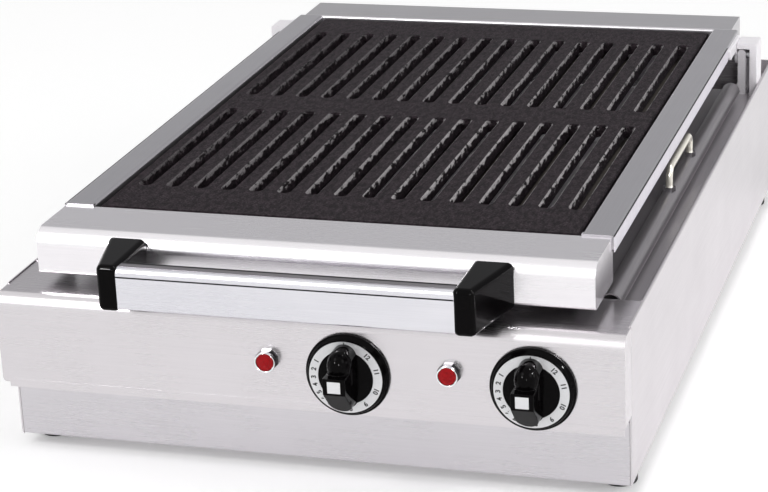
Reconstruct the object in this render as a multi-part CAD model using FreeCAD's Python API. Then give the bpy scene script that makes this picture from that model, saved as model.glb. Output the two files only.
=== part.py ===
import FreeCAD, Part
import math
import os

from FreeCAD import Vector

# Counter-top electric water grill, millimetres.
# X runs to the right, Y to the back and Z up. Heights below are above the casing's underside,
# and depths are behind the face of the front plinth. The last step stands the whole grill on its
# feet at Z = 0 and centres it in X and Y.

# Casing
WIDTH = 500.0
BODY_DEPTH = 718.0
SIDE_HEIGHT = 131.0
SHEET = 1.5
BEND = 1.2
FIT = 0.3
HEM_DEPTH = 10.0
HEM_ROUND = 1.3
FLANGE = 14.0
FOOT_FLANGE = 28.0
FOOT_HEIGHT = 10.0
FOOT_RADIUS = 14.0
FOOT_EDGE_ROUND = 1.5
FOOT_INSET = 16.0
FOOT_SETBACK = 32.0
FOOT_BOLT = 3.0
FOOT_NUT = 5.5
FOOT_NUT_HEIGHT = 5.0
VENT_COUNT = 9
VENT_LENGTH = 60.0
VENT_WIDTH = 6.0
VENT_PITCH = 16.0
LOUVRE_PITCH = 10.0
LOUVRE_LENGTH = 42.0
SCREW_RADIUS = 3.6
SCREW_HEIGHT = 2.2
SCREW_CROWN = 1.3
REAR_SCREWS = (32.0, 98.0)

# Control panel
PANEL_PROUD = 24.0
LEDGE_DROP = 1.0
PANEL_BEND = 9.0
PANEL_CORNER = 5.0
CONTROL_DEPTH = 52.0
KNOB_HEIGHT = 85.5
KNOB_CLEAR_HEIGHT = 30.5
KNOB_EDGE_DISTANCE = 68.7
KNOB_SPACING = 143.3
PILOT_RISE = 7.2
PILOT_OFFSET = 63.9

# Well and water pan
GUTTER_DEPTH = 13.0
GUTTER_FLANGE = 14.0
PAN_INSET = 13.5
PAN_GAP = 6.0
PAN_BACK_GAP = 24.0
PAN_DEPTH = 83.0
PAN_RISE = 7.0
PAN_SHEET = 1.2
PAN_CORNER = 20.0
PAN_LIP = 4.0
ROLL_GAP = 3.6
DRIP_LIP = 11.0
ROLL_WIDTH = 17.0
ROLL_HEIGHT = 8.0
ROLL_SETBACK = 2.0
BAIL_WIRE = 3.0
BAIL_SPAN = 96.6
BAIL_SHIFT = 7.5
BAIL_RISE = 19.5
BAIL_BEND = 8.0
BAIL_FOOT = 0.5
COLLAR_RADIUS = 5.4
COLLAR_HEIGHT = 4.0
REST_RAIL_X = 150.0
REST_RAIL_WIDTH = 20.0
REST_RAIL_FLANGE = 10.0
REST_RAIL_SETBACK = 12.0

# Lift-up frame
WELL_GAP = 25.5
RAIL_WIDTH = 25.0
RAIL_DROP = 12.0
FRAME_GAP = 9.0
FASCIA_FRONT = 3.0
FASCIA_DEPTH = 63.0
FASCIA_HEIGHT = 36.0
FASCIA_RADIUS = 12.0
FASCIA_RETURN = 15.0
RAIL_LAP = 2.0
SEAT_DROP = 11.0
SEAT_WIDTH = 12.0
REAR_RAIL_SETBACK = 8.0
REAR_RAIL_DEPTH = 52.0
REAR_RAIL_INSET = 6.5
REAR_RAIL_DROP = 30.0
PAD_RADIUS = 5.0
PAD_SETBACK = 8.0

# Cast-iron plate
PLATE_THICKNESS = 10.0
PLATE_CLEARANCE = 3.4
PLATE_CORNER = 3.0
PLATE_CHAMFER = 1.2
SLOT_COUNT = 16
SLOT_EDGE = 15.35
SLOT_WIDTH = 10.0
SLOT_DRAFT = 1.6
SLOT_ARRIS = 0.9
FRONT_BORDER = 55.6
CROSS_BAND = 44.0
REAR_BORDER = 50.6

# Heating elements
TUBE_RADIUS = 4.0
TUBE_PASSES = 4
TUBE_FIRST_X = 27.0
TUBE_EDGE = 28.5
TUBE_DROP = 10.7
TUBE_FRONT_GAP = 34.0
TUBE_REAR_GAP = 48.0
TUBE_ENTRY = 10.0
TERMINAL_BUSH = 5.0
STUD_RADIUS = 2.0
STUD_LENGTH = 18.0
STUD_NUT = 4.2
STUD_NUT_HEIGHT = 3.5
SUPPORT_FRACTIONS = (0.18, 0.52, 0.84)
SUPPORT_WIDTH = 16.0
SUPPORT_FLANGE = 10.0

# Hinges
PIVOT_SETBACK = 12.0
PIVOT_DROP = 20.5
PIN_RADIUS = 4.0
PIN_PLAY = 0.05
PIN_HEAD_RADIUS = 6.0
PIN_HEAD = 3.0
ARM_THICKNESS = 2.5
ARM_EYE = 9.0
ARM_LENGTH = 50.0
ARM_CORNER = 3.0
ARM_SHOULDER = 6.0
EAR_GAP = 0.5
EAR_SHEET = 2.0
EAR_WIDTH = 7.6
EAR_SETBACK = 4.5
EAR_CROWN = 6.5
EAR_SCREW_RADIUS = 2.5
POST_DEPTH = 26.0
POST_RISE = 14.0
POST_RETURN = 7.5
POST_BROW = 5.5
LIFT_ANGLE = 75.0

# Handle
BRACKET_EDGE = 61.5
BRACKET_WIDTH = 31.0
BRACKET_NOSE = 16.0
BRACKET_REACH = 61.0
BRACKET_HEIGHT = 37.0
BRACKET_SINK = 3.0
BRACKET_ROUND = 4.5
BOLT_RADIUS = 3.0
BOLT_GRIP = 20.0
BOLT_HEAD = 5.2
BOLT_HEAD_HEIGHT = 4.0
BOLT_EDGE = 10.0
BOLT_SPACING = 9.5
BAR_SETBACK = 1.5
BAR_THICKNESS = 13.5
BAR_HEIGHT = 33.5
BAR_LIFT = 1.5
BAR_WALL = 1.8
BAR_EDGE = 2.4
BAR_ROUND = 4.5
BAR_SOCKET = 6.0
BAR_GROOVE = 1.6
BAR_GROOVE_DEPTH = 1.1
BAR_GROOVE_DROP = 7.0

# Knobs
KNOB_RADIUS = 33.0
KNOB_STANDOFF = 0.6
KNOB_EDGE = 1.6
KNOB_SKIRT = 7.0
KNOB_RECESS = 12.0
KNOB_RECESS_DEPTH = 4.6
RING_OUTER = 28.8
RING_INNER = 21.7
RING_THICKNESS = 0.6
RING_SINK = 0.4
RING_PLAY = 0.15
GRIP_TOP = 27.0
GRIP_TAIL = 25.0
GRIP_TOP_RADIUS = 9.5
GRIP_TAIL_RADIUS = 9.2
SEAT_RISE = 29.0
SEAT_LOW = 2.5
SEAT_HIGH = 10.2
SEAT_EDGE = 1.0
TAIL_RISE = 13.0
TAIL_ROUND = 4.0
TAIL_EDGE = 1.8
NECK_RISE = 18.0
LOBE_RISE = 23.0
LOBE_LOW = 15.0
LOBE_CROWN = 10.0
LOBE_ROUND = 8.0
INSERT_SIDE = 10.8
INSERT_THICKNESS = 1.0
INSERT_PROUD = 0.3
INSERT_LIFT = 3.9
SHAFT_RADIUS = 3.0
SHAFT_PLAY = 0.06
SHAFT_FLAT = 1.5
SHAFT_DEPTH = 10.0
SHAFT_REACH = 12.0

# Regulators and pilot lights
REGULATOR_WIDTH = 38.0
REGULATOR_DEPTH = 30.0
REGULATOR_HEIGHT = 44.0
REGULATOR_ROUND = 4.0
BLADE_COUNT = 4
BLADE_LENGTH = 8.0
BLADE_WIDTH = 6.0
BLADE_THICKNESS = 1.0
BUSH_RADIUS = 4.9
BUSH_PLAY = 0.2
BUSH_REACH = 4.0
PANEL_NUT = 7.5
PANEL_NUT_HEIGHT = 3.0
BEZEL_RADIUS = 8.8
BEZEL_TAPER = 0.5
BEZEL_HEIGHT = 11.0
LENS_RADIUS = 6.1
LENS_SINK = 1.2
LENS_RISE = 1.6
LENS_TABLE = 2.8
LENS_PLAY = 0.5
LAMP_RADIUS = 6.2
LAMP_LENGTH = 24.0
LAMP_NUT = 9.2
LAMP_NUT_HEIGHT = 4.0

# Mains inlet at the back
GLAND_EDGE_DISTANCE = 80.0
GLAND_HEIGHT = 44.0
GLAND_RADIUS = 9.0
GLAND_LENGTH = 20.0
GLAND_FLANGE = 6.0
GLAND_THREAD = 10.0
GLAND_NUT_HEIGHT = 4.0
GLAND_BORE = 4.5
BLOCK_OFFSET = 30.0
BLOCK_SETBACK = 60.0
BLOCK_WIDTH = 64.0
BLOCK_DEPTH = 22.0
BLOCK_HEIGHT = 20.0
BLOCK_POLES = 5
POLE_SCREW = 3.0
POLE_DEPTH = 8.0

# Sizes worked out from the ones above
HALF = WIDTH / 2
INNER = HALF - SHEET
HEM_FACE = HALF - 2 * SHEET
PANEL_FACE = -PANEL_PROUD
LEDGE_HEIGHT = SIDE_HEIGHT - LEDGE_DROP
PANEL_BOTTOM = KNOB_HEIGHT - KNOB_CLEAR_HEIGHT
KNOB_X = (HALF - KNOB_EDGE_DISTANCE - KNOB_SPACING, HALF - KNOB_EDGE_DISTANCE)
PILOT_X = (KNOB_X[0] - PILOT_OFFSET, KNOB_X[1] - PILOT_OFFSET)
PILOT_HEIGHT = KNOB_HEIGHT + PILOT_RISE
RAIL_HALF = HALF - WELL_GAP
OPENING_HALF = RAIL_HALF - RAIL_WIDTH
FASCIA_HALF = RAIL_HALF - SHEET
REAR_RAIL_HALF = RAIL_HALF - REAR_RAIL_INSET
PAN_HALF = RAIL_HALF - PAN_INSET
ROLL_INNER = PAN_HALF + ROLL_GAP
ROLL_MIDDLE = ROLL_INNER + ROLL_WIDTH / 2
ROLL_OUTER = ROLL_INNER + ROLL_WIDTH
FASCIA_BACK = FASCIA_FRONT + FASCIA_DEPTH
FASCIA_BOTTOM = LEDGE_HEIGHT + FRAME_GAP
FASCIA_TOP = FASCIA_BOTTOM + FASCIA_HEIGHT
RAIL_TOP = FASCIA_TOP + SHEET
SEAT_TOP = FASCIA_TOP - SEAT_DROP
REAR_RAIL_BACK = BODY_DEPTH - REAR_RAIL_SETBACK
REAR_RAIL_FRONT = REAR_RAIL_BACK - REAR_RAIL_DEPTH
PLATE_TOP = SEAT_TOP + PLATE_THICKNESS
PLATE_FRONT = FASCIA_BACK + PLATE_CLEARANCE
PLATE_BACK = REAR_RAIL_FRONT - PLATE_CLEARANCE
SLOT_FRONT = PLATE_FRONT + FRONT_BORDER
SLOT_LENGTH = (PLATE_BACK - REAR_BORDER - SLOT_FRONT - CROSS_BAND) / 2
SLOT_PITCH = 2 * (OPENING_HALF - PLATE_CLEARANCE - SLOT_EDGE) / (SLOT_COUNT - 1)
TUBE_PITCH = (OPENING_HALF - TUBE_EDGE - TUBE_FIRST_X) / (TUBE_PASSES - 1)
TUBE_HEIGHT = SEAT_TOP - TUBE_DROP
TUBE_FRONT = FASCIA_BACK + TUBE_FRONT_GAP
TUBE_REAR_BEND = REAR_RAIL_FRONT - TUBE_REAR_GAP
TUBE_END = REAR_RAIL_FRONT + TUBE_ENTRY
PIVOT_Y = REAR_RAIL_FRONT - PIVOT_SETBACK
PIVOT_Z = RAIL_TOP - PIVOT_DROP
POST_INNER = RAIL_HALF + ARM_THICKNESS + EAR_GAP
POST_FRONT = PIVOT_Y - POST_DEPTH / 2
POST_TOP = PIVOT_Z + POST_RISE
GUTTER_HEIGHT = SIDE_HEIGHT - GUTTER_DEPTH
PAN_RIM = GUTTER_HEIGHT + PAN_RISE
PAN_BOTTOM = PAN_RIM - PAN_DEPTH
PAN_FRONT = CONTROL_DEPTH + PAN_GAP
PAN_BACK = PIVOT_Y - PAN_BACK_GAP
PAN_LENGTH = PAN_BACK - PAN_FRONT
PAN_MIDDLE = (PAN_FRONT + PAN_BACK) / 2
BAIL_MIDDLE = PAN_MIDDLE + BAIL_SHIFT
BRACKET_INNER = FASCIA_HALF - BRACKET_EDGE - BRACKET_WIDTH
BRACKET_BOTTOM = FASCIA_BOTTOM - BRACKET_SINK
BRACKET_TOP = BRACKET_BOTTOM + BRACKET_HEIGHT
BRACKET_FRONT = FASCIA_FRONT - BRACKET_REACH
BOLT_X = BRACKET_INNER + BRACKET_WIDTH / 2
BOLT_LOW = BRACKET_BOTTOM + BOLT_EDGE
BOLTS = [(side * BOLT_X, z) for side in (-1, 1) for z in (BOLT_LOW, BOLT_LOW + BOLT_SPACING)]
SKIRT_FRONT = PANEL_FACE - KNOB_SKIRT
SEAT_FACE = SKIRT_FRONT - SEAT_RISE
LOBE_FACE = SKIRT_FRONT - LOBE_RISE
RING_SEAT = SKIRT_FRONT + RING_SINK
SHAFT_END = SKIRT_FRONT - SHAFT_REACH
GLAND_X = GLAND_EDGE_DISTANCE - HALF
REAR_END = BODY_DEPTH + GLAND_LENGTH
FOOT_PLACES = [(side * (HALF - FOOT_INSET), y) for side in (-1, 1)
               for y in (FOOT_SETBACK, BODY_DEPTH - FOOT_SETBACK)]
MIDDLE_Y = (min(BRACKET_FRONT, SEAT_FACE - INSERT_PROUD) + REAR_END) / 2

NODES = {}


def keep(name, *shapes):
    solids = [solid for shape in shapes for solid in shape.Solids]
    moved = []
    for solid in solids:
        solid = solid.copy()
        solid.translate(Vector(0, -MIDDLE_Y, FOOT_HEIGHT))
        moved.append(solid)
    NODES[name] = moved[0] if len(moved) == 1 else Part.makeCompound(moved)


def block(x0, x1, y0, y1, z0, z1):
    return Part.makeBox(x1 - x0, y1 - y0, z1 - z0, Vector(x0, y0, z0))


def rod(radius, start, end):
    run = end - start
    return Part.makeCylinder(radius, run.Length, start, run)


def mirrored(shape):
    return shape.mirror(Vector(0, 0, 0), Vector(1, 0, 0))


def on_yz(x):
    return lambda u, v: Vector(x, u, v)


def on_xz(y):
    return lambda u, v: Vector(u, y, v)


def on_xy(z):
    return lambda u, v: Vector(u, v, z)


def outline(points, radii, place):
    """Closed outline through the points, each corner rounded by its radius."""
    count = len(points)
    starts, ends, mids = [], [], []
    for i in range(count):
        corner = Vector(*points[i], 0)
        back = Vector(*points[i - 1], 0) - corner
        ahead = Vector(*points[(i + 1) % count], 0) - corner
        back.normalize()
        ahead.normalize()
        radius = radii[i]
        if radius <= 0:
            starts.append(corner)
            ends.append(corner)
            mids.append(None)
            continue
        half = back.getAngle(ahead) / 2
        cut = radius / math.tan(half)
        bisector = back + ahead
        bisector.normalize()
        centre = corner + bisector * (radius / math.sin(half))
        starts.append(corner + back * cut)
        ends.append(corner + ahead * cut)
        mids.append(centre - bisector * radius)
    edges = []
    for i in range(count):
        if mids[i] is not None:
            arc = Part.Arc(*[place(p.x, p.y) for p in (starts[i], mids[i], ends[i])])
            edges.append(arc.toShape())
        here, there = ends[i], starts[(i + 1) % count]
        if (there - here).Length > 1e-6:
            edges.append(Part.makeLine(place(here.x, here.y), place(there.x, there.y)))
    return Part.Wire(edges)


def solid_from(points, radii, place, run):
    return Part.Face(outline(points, radii, place)).extrude(run)


def folded(path, bends, thickness, place, run):
    """Sheet metal: an open path, folded at its corners, with its thickness on the left of the path."""
    points = [Vector(*p, 0) for p in path]
    count = len(points)
    rows = []
    for i in range(count - 1):
        along = points[i + 1] - points[i]
        along.normalize()
        rows.append((along, Vector(-along.y, along.x, 0)))
    inner = [points[0] + rows[0][1] * thickness]
    near, far = [0.0], [0.0]
    for i in range(1, count - 1):
        (before, left), (after, left2) = rows[i - 1], rows[i]
        turn = before.x * after.y - before.y * after.x
        mitre = left + left2
        mitre.normalize()
        inner.append(points[i] + mitre * (thickness / mitre.dot(left)))
        bend = bends[i - 1]
        near.append(bend + thickness if turn > 0 else bend)
        far.append(bend if turn > 0 else bend + thickness)
    inner.append(points[-1] + rows[-1][1] * thickness)
    near.append(0.0)
    far.append(0.0)
    ring = [(p.x, p.y) for p in points] + [(p.x, p.y) for p in reversed(inner)]
    return solid_from(ring, near + far[::-1], place, run)


def slot_cutter(x, y0, y1):
    """Rounded slot through the plate: drafted walls below a broken arris at the mouth."""
    mouth = SLOT_WIDTH + 2 * SLOT_ARRIS
    lower = slot_stage(x, y0, y1, (SEAT_TOP, SLOT_WIDTH - SLOT_DRAFT), (PLATE_TOP - SLOT_ARRIS, SLOT_WIDTH))
    upper = slot_stage(x, y0, y1, (PLATE_TOP - SLOT_ARRIS, SLOT_WIDTH), (PLATE_TOP, mouth))
    return lower.fuse(upper).removeSplitter()


def slot_stage(x, y0, y1, *levels):
    wires = []
    for z, w in levels:
        r = w / 2
        low, high = y0 + SLOT_WIDTH / 2, y1 - SLOT_WIDTH / 2
        left = [Vector(x - r, low, z), Vector(x - r, high, z)]
        right = [Vector(x + r, high, z), Vector(x + r, low, z)]
        edges = [Part.makeLine(*left),
                 Part.Arc(left[1], Vector(x, high + r, z), right[0]).toShape(),
                 Part.makeLine(*right),
                 Part.Arc(right[1], Vector(x, low - r, z), left[0]).toShape()]
        wires.append(Part.Wire(edges))
    return Part.makeLoft(wires, True, True)


def hexagon(radius, centre, axis, height):
    points = []
    side = Vector(1, 0, 0) if abs(axis.x) < 0.5 else Vector(0, 1, 0)
    other = axis.cross(side)
    for i in range(7):
        angle = math.radians(60 * i)
        points.append(centre + side * (radius * math.cos(angle)) + other * (radius * math.sin(angle)))
    return Part.Face(Part.makePolygon(points)).extrude(axis * height)


def pan_head(centre, axis, radius, height):
    """Screw head: a low dome on a short rim, standing on centre along axis."""
    head = rod(radius, centre, centre + axis * height)
    crown = [edge for edge in head.Edges
             if abs((edge.CenterOfMass - centre).dot(axis) - height) < 1e-6 and edge.Length > radius]
    return head.makeFillet(SCREW_CROWN, crown)


def side_panel():
    """Outer wall with a bottom flange, a rear return and a closed hem along its top edge."""
    top = SIDE_HEIGHT
    hem = HEM_FACE
    points = [(HALF - FOOT_FLANGE, 0), (HALF, 0), (HALF, top), (hem, top),
              (hem, top - HEM_DEPTH), (INNER, top - HEM_DEPTH), (INNER, SHEET), (HALF - FOOT_FLANGE, SHEET)]
    radii = [0, BEND + SHEET, HEM_ROUND, HEM_ROUND, 0, 0, BEND, 0]
    wall = solid_from(points, radii, on_xz(0), Vector(0, BODY_DEPTH, 0))
    wall = wall.cut(block(hem - FLANGE, INNER, -FIT, CONTROL_DEPTH + FIT, top - HEM_DEPTH - FIT, top + FIT))
    wall = wall.cut(block(0, INNER, -FIT, FLANGE + FIT, -FIT, SHEET + BEND + FIT))
    flange = block(HALF - FLANGE, INNER + FIT, BODY_DEPTH - SHEET, BODY_DEPTH, SHEET - FIT, top - HEM_DEPTH)
    return wall.fuse(flange).removeSplitter()


def front_plinth():
    """Channel between the side walls, set back below the control panel."""
    path = [(FLANGE, 0), (0, 0), (0, PANEL_BOTTOM), (FLANGE, PANEL_BOTTOM)]
    reach = INNER - FIT
    return folded(path[::-1], [BEND, BEND], SHEET, on_yz(-reach), Vector(2 * reach, 0, 0))


def base_plate():
    z = SHEET
    reach = INNER - BEND - FIT
    plate = block(-reach, reach, SHEET + BEND + FIT, BODY_DEPTH - SHEET - FIT, z, z + SHEET)
    start = PAN_MIDDLE - VENT_PITCH * (VENT_COUNT - 1) / 2
    for side in (-1, 1):
        for i in range(VENT_COUNT):
            y = start + i * VENT_PITCH
            x = side * WIDTH / 5
            plate = plate.cut(block(x - VENT_LENGTH / 2, x + VENT_LENGTH / 2,
                                    y - VENT_WIDTH / 2, y + VENT_WIDTH / 2, 0, 4 * z))
    return plate


def rear_panel():
    """Back wall with a bottom flange and a closed hem, between the returns of the side walls."""
    y = BODY_DEPTH - SHEET
    reach = INNER - FIT
    foot = 3 * SHEET
    path = [(y - FLANGE, foot), (y, foot), (y, SIDE_HEIGHT)]
    sheet = folded(path, [BEND], SHEET, on_yz(-reach), Vector(2 * reach, 0, 0))
    hem_reach = HEM_FACE - FIT
    sheet = sheet.fuse(block(-hem_reach, hem_reach, y - 2 * SHEET, y, SIDE_HEIGHT - HEM_DEPTH, SIDE_HEIGHT))
    for side in (-1, 1):
        edges = (side * hem_reach, side * HALF)
        sheet = sheet.cut(block(min(edges), max(edges), y - 2 * SHEET, y + SHEET,
                                SIDE_HEIGHT - HEM_DEPTH - FIT, SIDE_HEIGHT + FIT))
    low, high = y - 2 * SHEET, y + 2 * SHEET
    sheet = sheet.cut(rod(GLAND_RADIUS - FIT, Vector(GLAND_X, low, GLAND_HEIGHT),
                          Vector(GLAND_X, high, GLAND_HEIGHT)))
    middle = SIDE_HEIGHT / 2
    for i in range(VENT_COUNT):
        x = reach / 2 + (i - (VENT_COUNT - 1) / 2) * LOUVRE_PITCH
        sheet = sheet.cut(block(x - VENT_WIDTH / 4, x + VENT_WIDTH / 4, low, high,
                                middle - LOUVRE_LENGTH / 2, middle + LOUVRE_LENGTH / 2))
    return sheet.removeSplitter()


def control_panel():
    """Box-fronted panel: bottom return, face, rounded top edge and a ledge back to the well."""
    path = [(FLANGE - SHEET, PANEL_BOTTOM), (PANEL_FACE, PANEL_BOTTOM), (PANEL_FACE, LEDGE_HEIGHT),
            (CONTROL_DEPTH, LEDGE_HEIGHT)]
    shell = folded(path[::-1], [PANEL_BEND, BEND], SHEET, on_yz(-HALF), Vector(WIDTH, 0, 0))
    for side in (-1, 1):
        x0 = side * HALF
        x1 = side * (INNER - FIT)
        shell = shell.cut(block(min(x0, x1), max(x0, x1), -FIT, CONTROL_DEPTH + FIT, 0, SIDE_HEIGHT))
        wall = [(-FIT, PANEL_BOTTOM), (PANEL_FACE, PANEL_BOTTOM), (PANEL_FACE, LEDGE_HEIGHT),
                (-FIT, LEDGE_HEIGHT)]
        cap = solid_from(wall, [0, BEND + SHEET, PANEL_BEND + SHEET, 0], on_yz(min(x0, side * INNER)),
                         Vector(SHEET, 0, 0))
        shell = shell.fuse(cap)
    shell = shell.removeSplitter()
    corner = [(-HALF, PANEL_BOTTOM), (HALF, PANEL_BOTTOM), (HALF, LEDGE_HEIGHT), (-HALF, LEDGE_HEIGHT)]
    front = solid_from(corner, [PANEL_CORNER, PANEL_CORNER, SHEET, SHEET], on_xz(PANEL_FACE),
                       Vector(0, PANEL_PROUD + CONTROL_DEPTH, 0))
    shell = shell.common(front)
    holes = [(x, KNOB_HEIGHT, BUSH_RADIUS) for x in KNOB_X]
    holes += [(x, PILOT_HEIGHT, LAMP_RADIUS) for x in PILOT_X]
    for x, z, radius in holes:
        shell = shell.cut(rod(radius + BUSH_PLAY, Vector(x, PANEL_FACE - SHEET, z),
                              Vector(x, PANEL_FACE + 2 * SHEET, z)))
    return shell


def control_box_wall():
    """Wall between the dry control space and the wet well, with a flange under the ledge."""
    low = 2 * SHEET
    high = LEDGE_HEIGHT - SHEET
    path = [(CONTROL_DEPTH - FLANGE, low), (CONTROL_DEPTH, low), (CONTROL_DEPTH, high),
            (CONTROL_DEPTH - FLANGE, high)]
    reach = INNER - FIT
    return folded(path, [BEND, BEND], SHEET, on_yz(-reach), Vector(2 * reach, 0, 0))


def gutter_ledge():
    """Inverted channel that closes the well beside the pan, cut back where the frame swings."""
    inner = PAN_HALF + SHEET
    low = GUTTER_HEIGHT - GUTTER_FLANGE
    path = [(INNER, low), (INNER, GUTTER_HEIGHT), (inner, GUTTER_HEIGHT), (inner, low)]
    run = Vector(0, BODY_DEPTH - 2 * SHEET - FIT - CONTROL_DEPTH, 0)
    ledge = folded(path, [BEND, BEND], SHEET, on_xz(CONTROL_DEPTH), run)
    notch = block(inner - FIT, REAR_RAIL_HALF + 2 * SHEET, PAN_BACK + PAN_LIP, BODY_DEPTH, 0, SIDE_HEIGHT)
    return ledge.cut(notch)


def pan_rest_rail():
    """Hat section on the floor of the casing, under the pan."""
    half = REST_RAIL_WIDTH / 2
    outer = half + REST_RAIL_FLANGE
    low = 3 * SHEET
    x = REST_RAIL_X
    path = [(x + outer, low), (x + half, low), (x + half, PAN_BOTTOM),
            (x - half, PAN_BOTTOM), (x - half, low), (x - outer, low)]
    run = Vector(0, PAN_LENGTH - 2 * REST_RAIL_SETBACK, 0)
    return folded(path, [BEND] * 4, SHEET, on_xz(PAN_FRONT + REST_RAIL_SETBACK), run)


def pan_body(grow, low, high):
    """Tray block, larger by grow on every side, with round corners."""
    x = PAN_HALF + grow
    body = block(-x, x, PAN_FRONT - grow, PAN_BACK + grow, low, high)
    upright = [e for e in body.Edges if abs(e.tangentAt(e.FirstParameter).z) > 0.9]
    body = body.makeFillet(PAN_CORNER + grow, upright)
    floor = [e for e in body.Edges if e.BoundBox.ZMax < low + 1e-6]
    return body.makeFillet(PAN_CORNER / 2 + grow, floor)


def water_pan():
    tray = pan_body(0, PAN_BOTTOM, PAN_RIM)
    flange = block(-ROLL_OUTER, ROLL_OUTER, PAN_FRONT - PAN_LIP, PAN_BACK + PAN_LIP,
                   PAN_RIM - PAN_SHEET, PAN_RIM)
    space = pan_body(-PAN_SHEET, PAN_BOTTOM + PAN_SHEET, PAN_RIM + PAN_SHEET)
    return tray.fuse(flange).cut(space).removeSplitter()


def pan_rim():
    """Half-round reinforcement rolled along the pan's side flange, with a drip lip over the water."""
    width, height = ROLL_WIDTH / 2, ROLL_HEIGHT
    radius = (width * width + height * height) / (2 * height)
    centre = PAN_RIM + height - radius
    inner = radius - PAN_SHEET
    y = PAN_FRONT + ROLL_SETBACK - PAN_LIP
    place = on_xz(y)
    edges = []
    outer_ends = [(ROLL_INNER, PAN_RIM), (ROLL_OUTER, PAN_RIM)]
    foot = math.sqrt(inner * inner - (PAN_RIM - centre) ** 2)
    inner_ends = [(ROLL_MIDDLE + foot, PAN_RIM), (ROLL_MIDDLE - foot, PAN_RIM)]
    top, under = centre + radius, centre + inner
    edges.append(Part.Arc(place(*outer_ends[0]), place(ROLL_MIDDLE, top), place(*outer_ends[1])).toShape())
    edges.append(Part.makeLine(place(*outer_ends[1]), place(*inner_ends[0])))
    edges.append(Part.Arc(place(*inner_ends[0]), place(ROLL_MIDDLE, under), place(*inner_ends[1])).toShape())
    edges.append(Part.makeLine(place(*inner_ends[1]), place(*outer_ends[0])))
    length = PAN_LENGTH + 2 * (PAN_LIP - ROLL_SETBACK)
    roll = Part.Face(Part.Wire(edges)).extrude(Vector(0, length, 0))
    roll = roll.fuse(block(ROLL_INNER - DRIP_LIP, ROLL_INNER + PAN_SHEET, y, y + length, PAN_RIM,
                           PAN_RIM + PAN_SHEET))
    for side in (-1, 1):
        y_leg = BAIL_MIDDLE + side * BAIL_SPAN / 2
        roll = roll.cut(rod(BAIL_WIRE + PIN_PLAY, Vector(ROLL_MIDDLE, y_leg, PAN_RIM + BAIL_FOOT),
                            Vector(ROLL_MIDDLE, y_leg, PAN_RIM + 2 * ROLL_HEIGHT)))
    return roll.removeSplitter()


def pan_handle():
    """Bent wire bail with both legs down through the rolled rim."""
    base = PAN_RIM
    top = PAN_RIM + ROLL_HEIGHT + BAIL_RISE
    half = BAIL_SPAN / 2
    bend = BAIL_BEND
    slope = bend * (1 - math.sqrt(0.5))
    x = ROLL_MIDDLE
    a, b = BAIL_MIDDLE - half, BAIL_MIDDLE + half
    low = top - bend
    rear = Part.Arc(Vector(x, b - bend, top), Vector(x, b - slope, top - slope), Vector(x, b, low))
    front = Part.Arc(Vector(x, a, low), Vector(x, a + slope, top - slope), Vector(x, a + bend, top))
    path = Part.Wire([Part.makeLine(Vector(x, a, base), Vector(x, a, low)), front.toShape(),
                      Part.makeLine(Vector(x, a + bend, top), Vector(x, b - bend, top)), rear.toShape(),
                      Part.makeLine(Vector(x, b, low), Vector(x, b, base))])
    ring = Part.Wire([Part.makeCircle(BAIL_WIRE, Vector(x, a, base), Vector(0, 0, 1))])
    return path.makePipeShell([ring], True, False)


def pan_handle_collar(side_y):
    base = Vector(ROLL_MIDDLE, BAIL_MIDDLE + side_y * BAIL_SPAN / 2, PAN_RIM + ROLL_HEIGHT)
    up = Vector(0, 0, 1)
    nut = hexagon(COLLAR_RADIUS, base, up, COLLAR_HEIGHT)
    return nut.cut(rod(BAIL_WIRE + PIN_PLAY, base - up, base + up * 2 * COLLAR_HEIGHT))


def hinge_post():
    """Folded upright beside the wall: top, back, outer wall and a narrow front return."""
    x0, x1 = POST_INNER, HEM_FACE
    y0, y1 = POST_FRONT, POST_FRONT + POST_DEPTH
    z0, z1 = GUTTER_HEIGHT, POST_TOP
    outer = block(x0, x1, y0, y1, z0, z1)
    upright = [e for e in outer.Edges if e.BoundBox.XMin > x1 - 1e-6 and e.BoundBox.ZLength > 1]
    crown = [e for e in outer.Edges if e.BoundBox.XMin > x1 - 1e-6 and e.BoundBox.ZMin > z1 - 1e-6]
    outer = outer.makeFillet(SHEET, upright + crown)
    post = outer.cut(block(x0 - FIT, x1 - SHEET, y0 + SHEET, y1 - SHEET, z0 - FIT, z1 - SHEET))
    post = post.cut(block(x0 - FIT, x1 - POST_RETURN, y0 - FIT, y0 + 2 * SHEET, z0 - FIT, z1 - POST_BROW))
    foot = block(x1 - SHEET - POST_RETURN, x1 - SHEET, y0 + EAR_SETBACK, y1 - SHEET, z0, z0 + SHEET)
    return post.fuse(foot).removeSplitter()


def hinge_ear():
    """Angle with a round-topped front flange; its web carries the pin."""
    x0 = POST_INNER
    y0 = POST_FRONT + EAR_SETBACK
    y1 = POST_FRONT + POST_DEPTH - SHEET - FIT
    z0 = GUTTER_HEIGHT
    crown = EAR_WIDTH / 2 - PIN_PLAY
    top = PIVOT_Z + EAR_CROWN
    face = [(x0, z0), (x0 + EAR_WIDTH, z0), (x0 + EAR_WIDTH, top), (x0, top)]
    flange = solid_from(face, [0, 0, crown, crown], on_xz(y0), Vector(0, EAR_SHEET, 0))
    side = [(y0 + EAR_SHEET, z0), (y1, z0), (y1, top), (y0 + EAR_SHEET, top)]
    web = solid_from(side, [0, 0, EAR_CROWN, EAR_CROWN], on_yz(x0), Vector(EAR_SHEET, 0, 0))
    foot = block(x0, x0 + EAR_WIDTH, y0, y1, z0, z0 + EAR_SHEET)
    ear = flange.fuse(web).fuse(foot)
    bore = rod(PIN_RADIUS + PIN_PLAY, Vector(x0 - SHEET, PIVOT_Y, PIVOT_Z),
               Vector(x0 + 2 * EAR_SHEET, PIVOT_Y, PIVOT_Z))
    return ear.cut(bore).removeSplitter()


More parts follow.
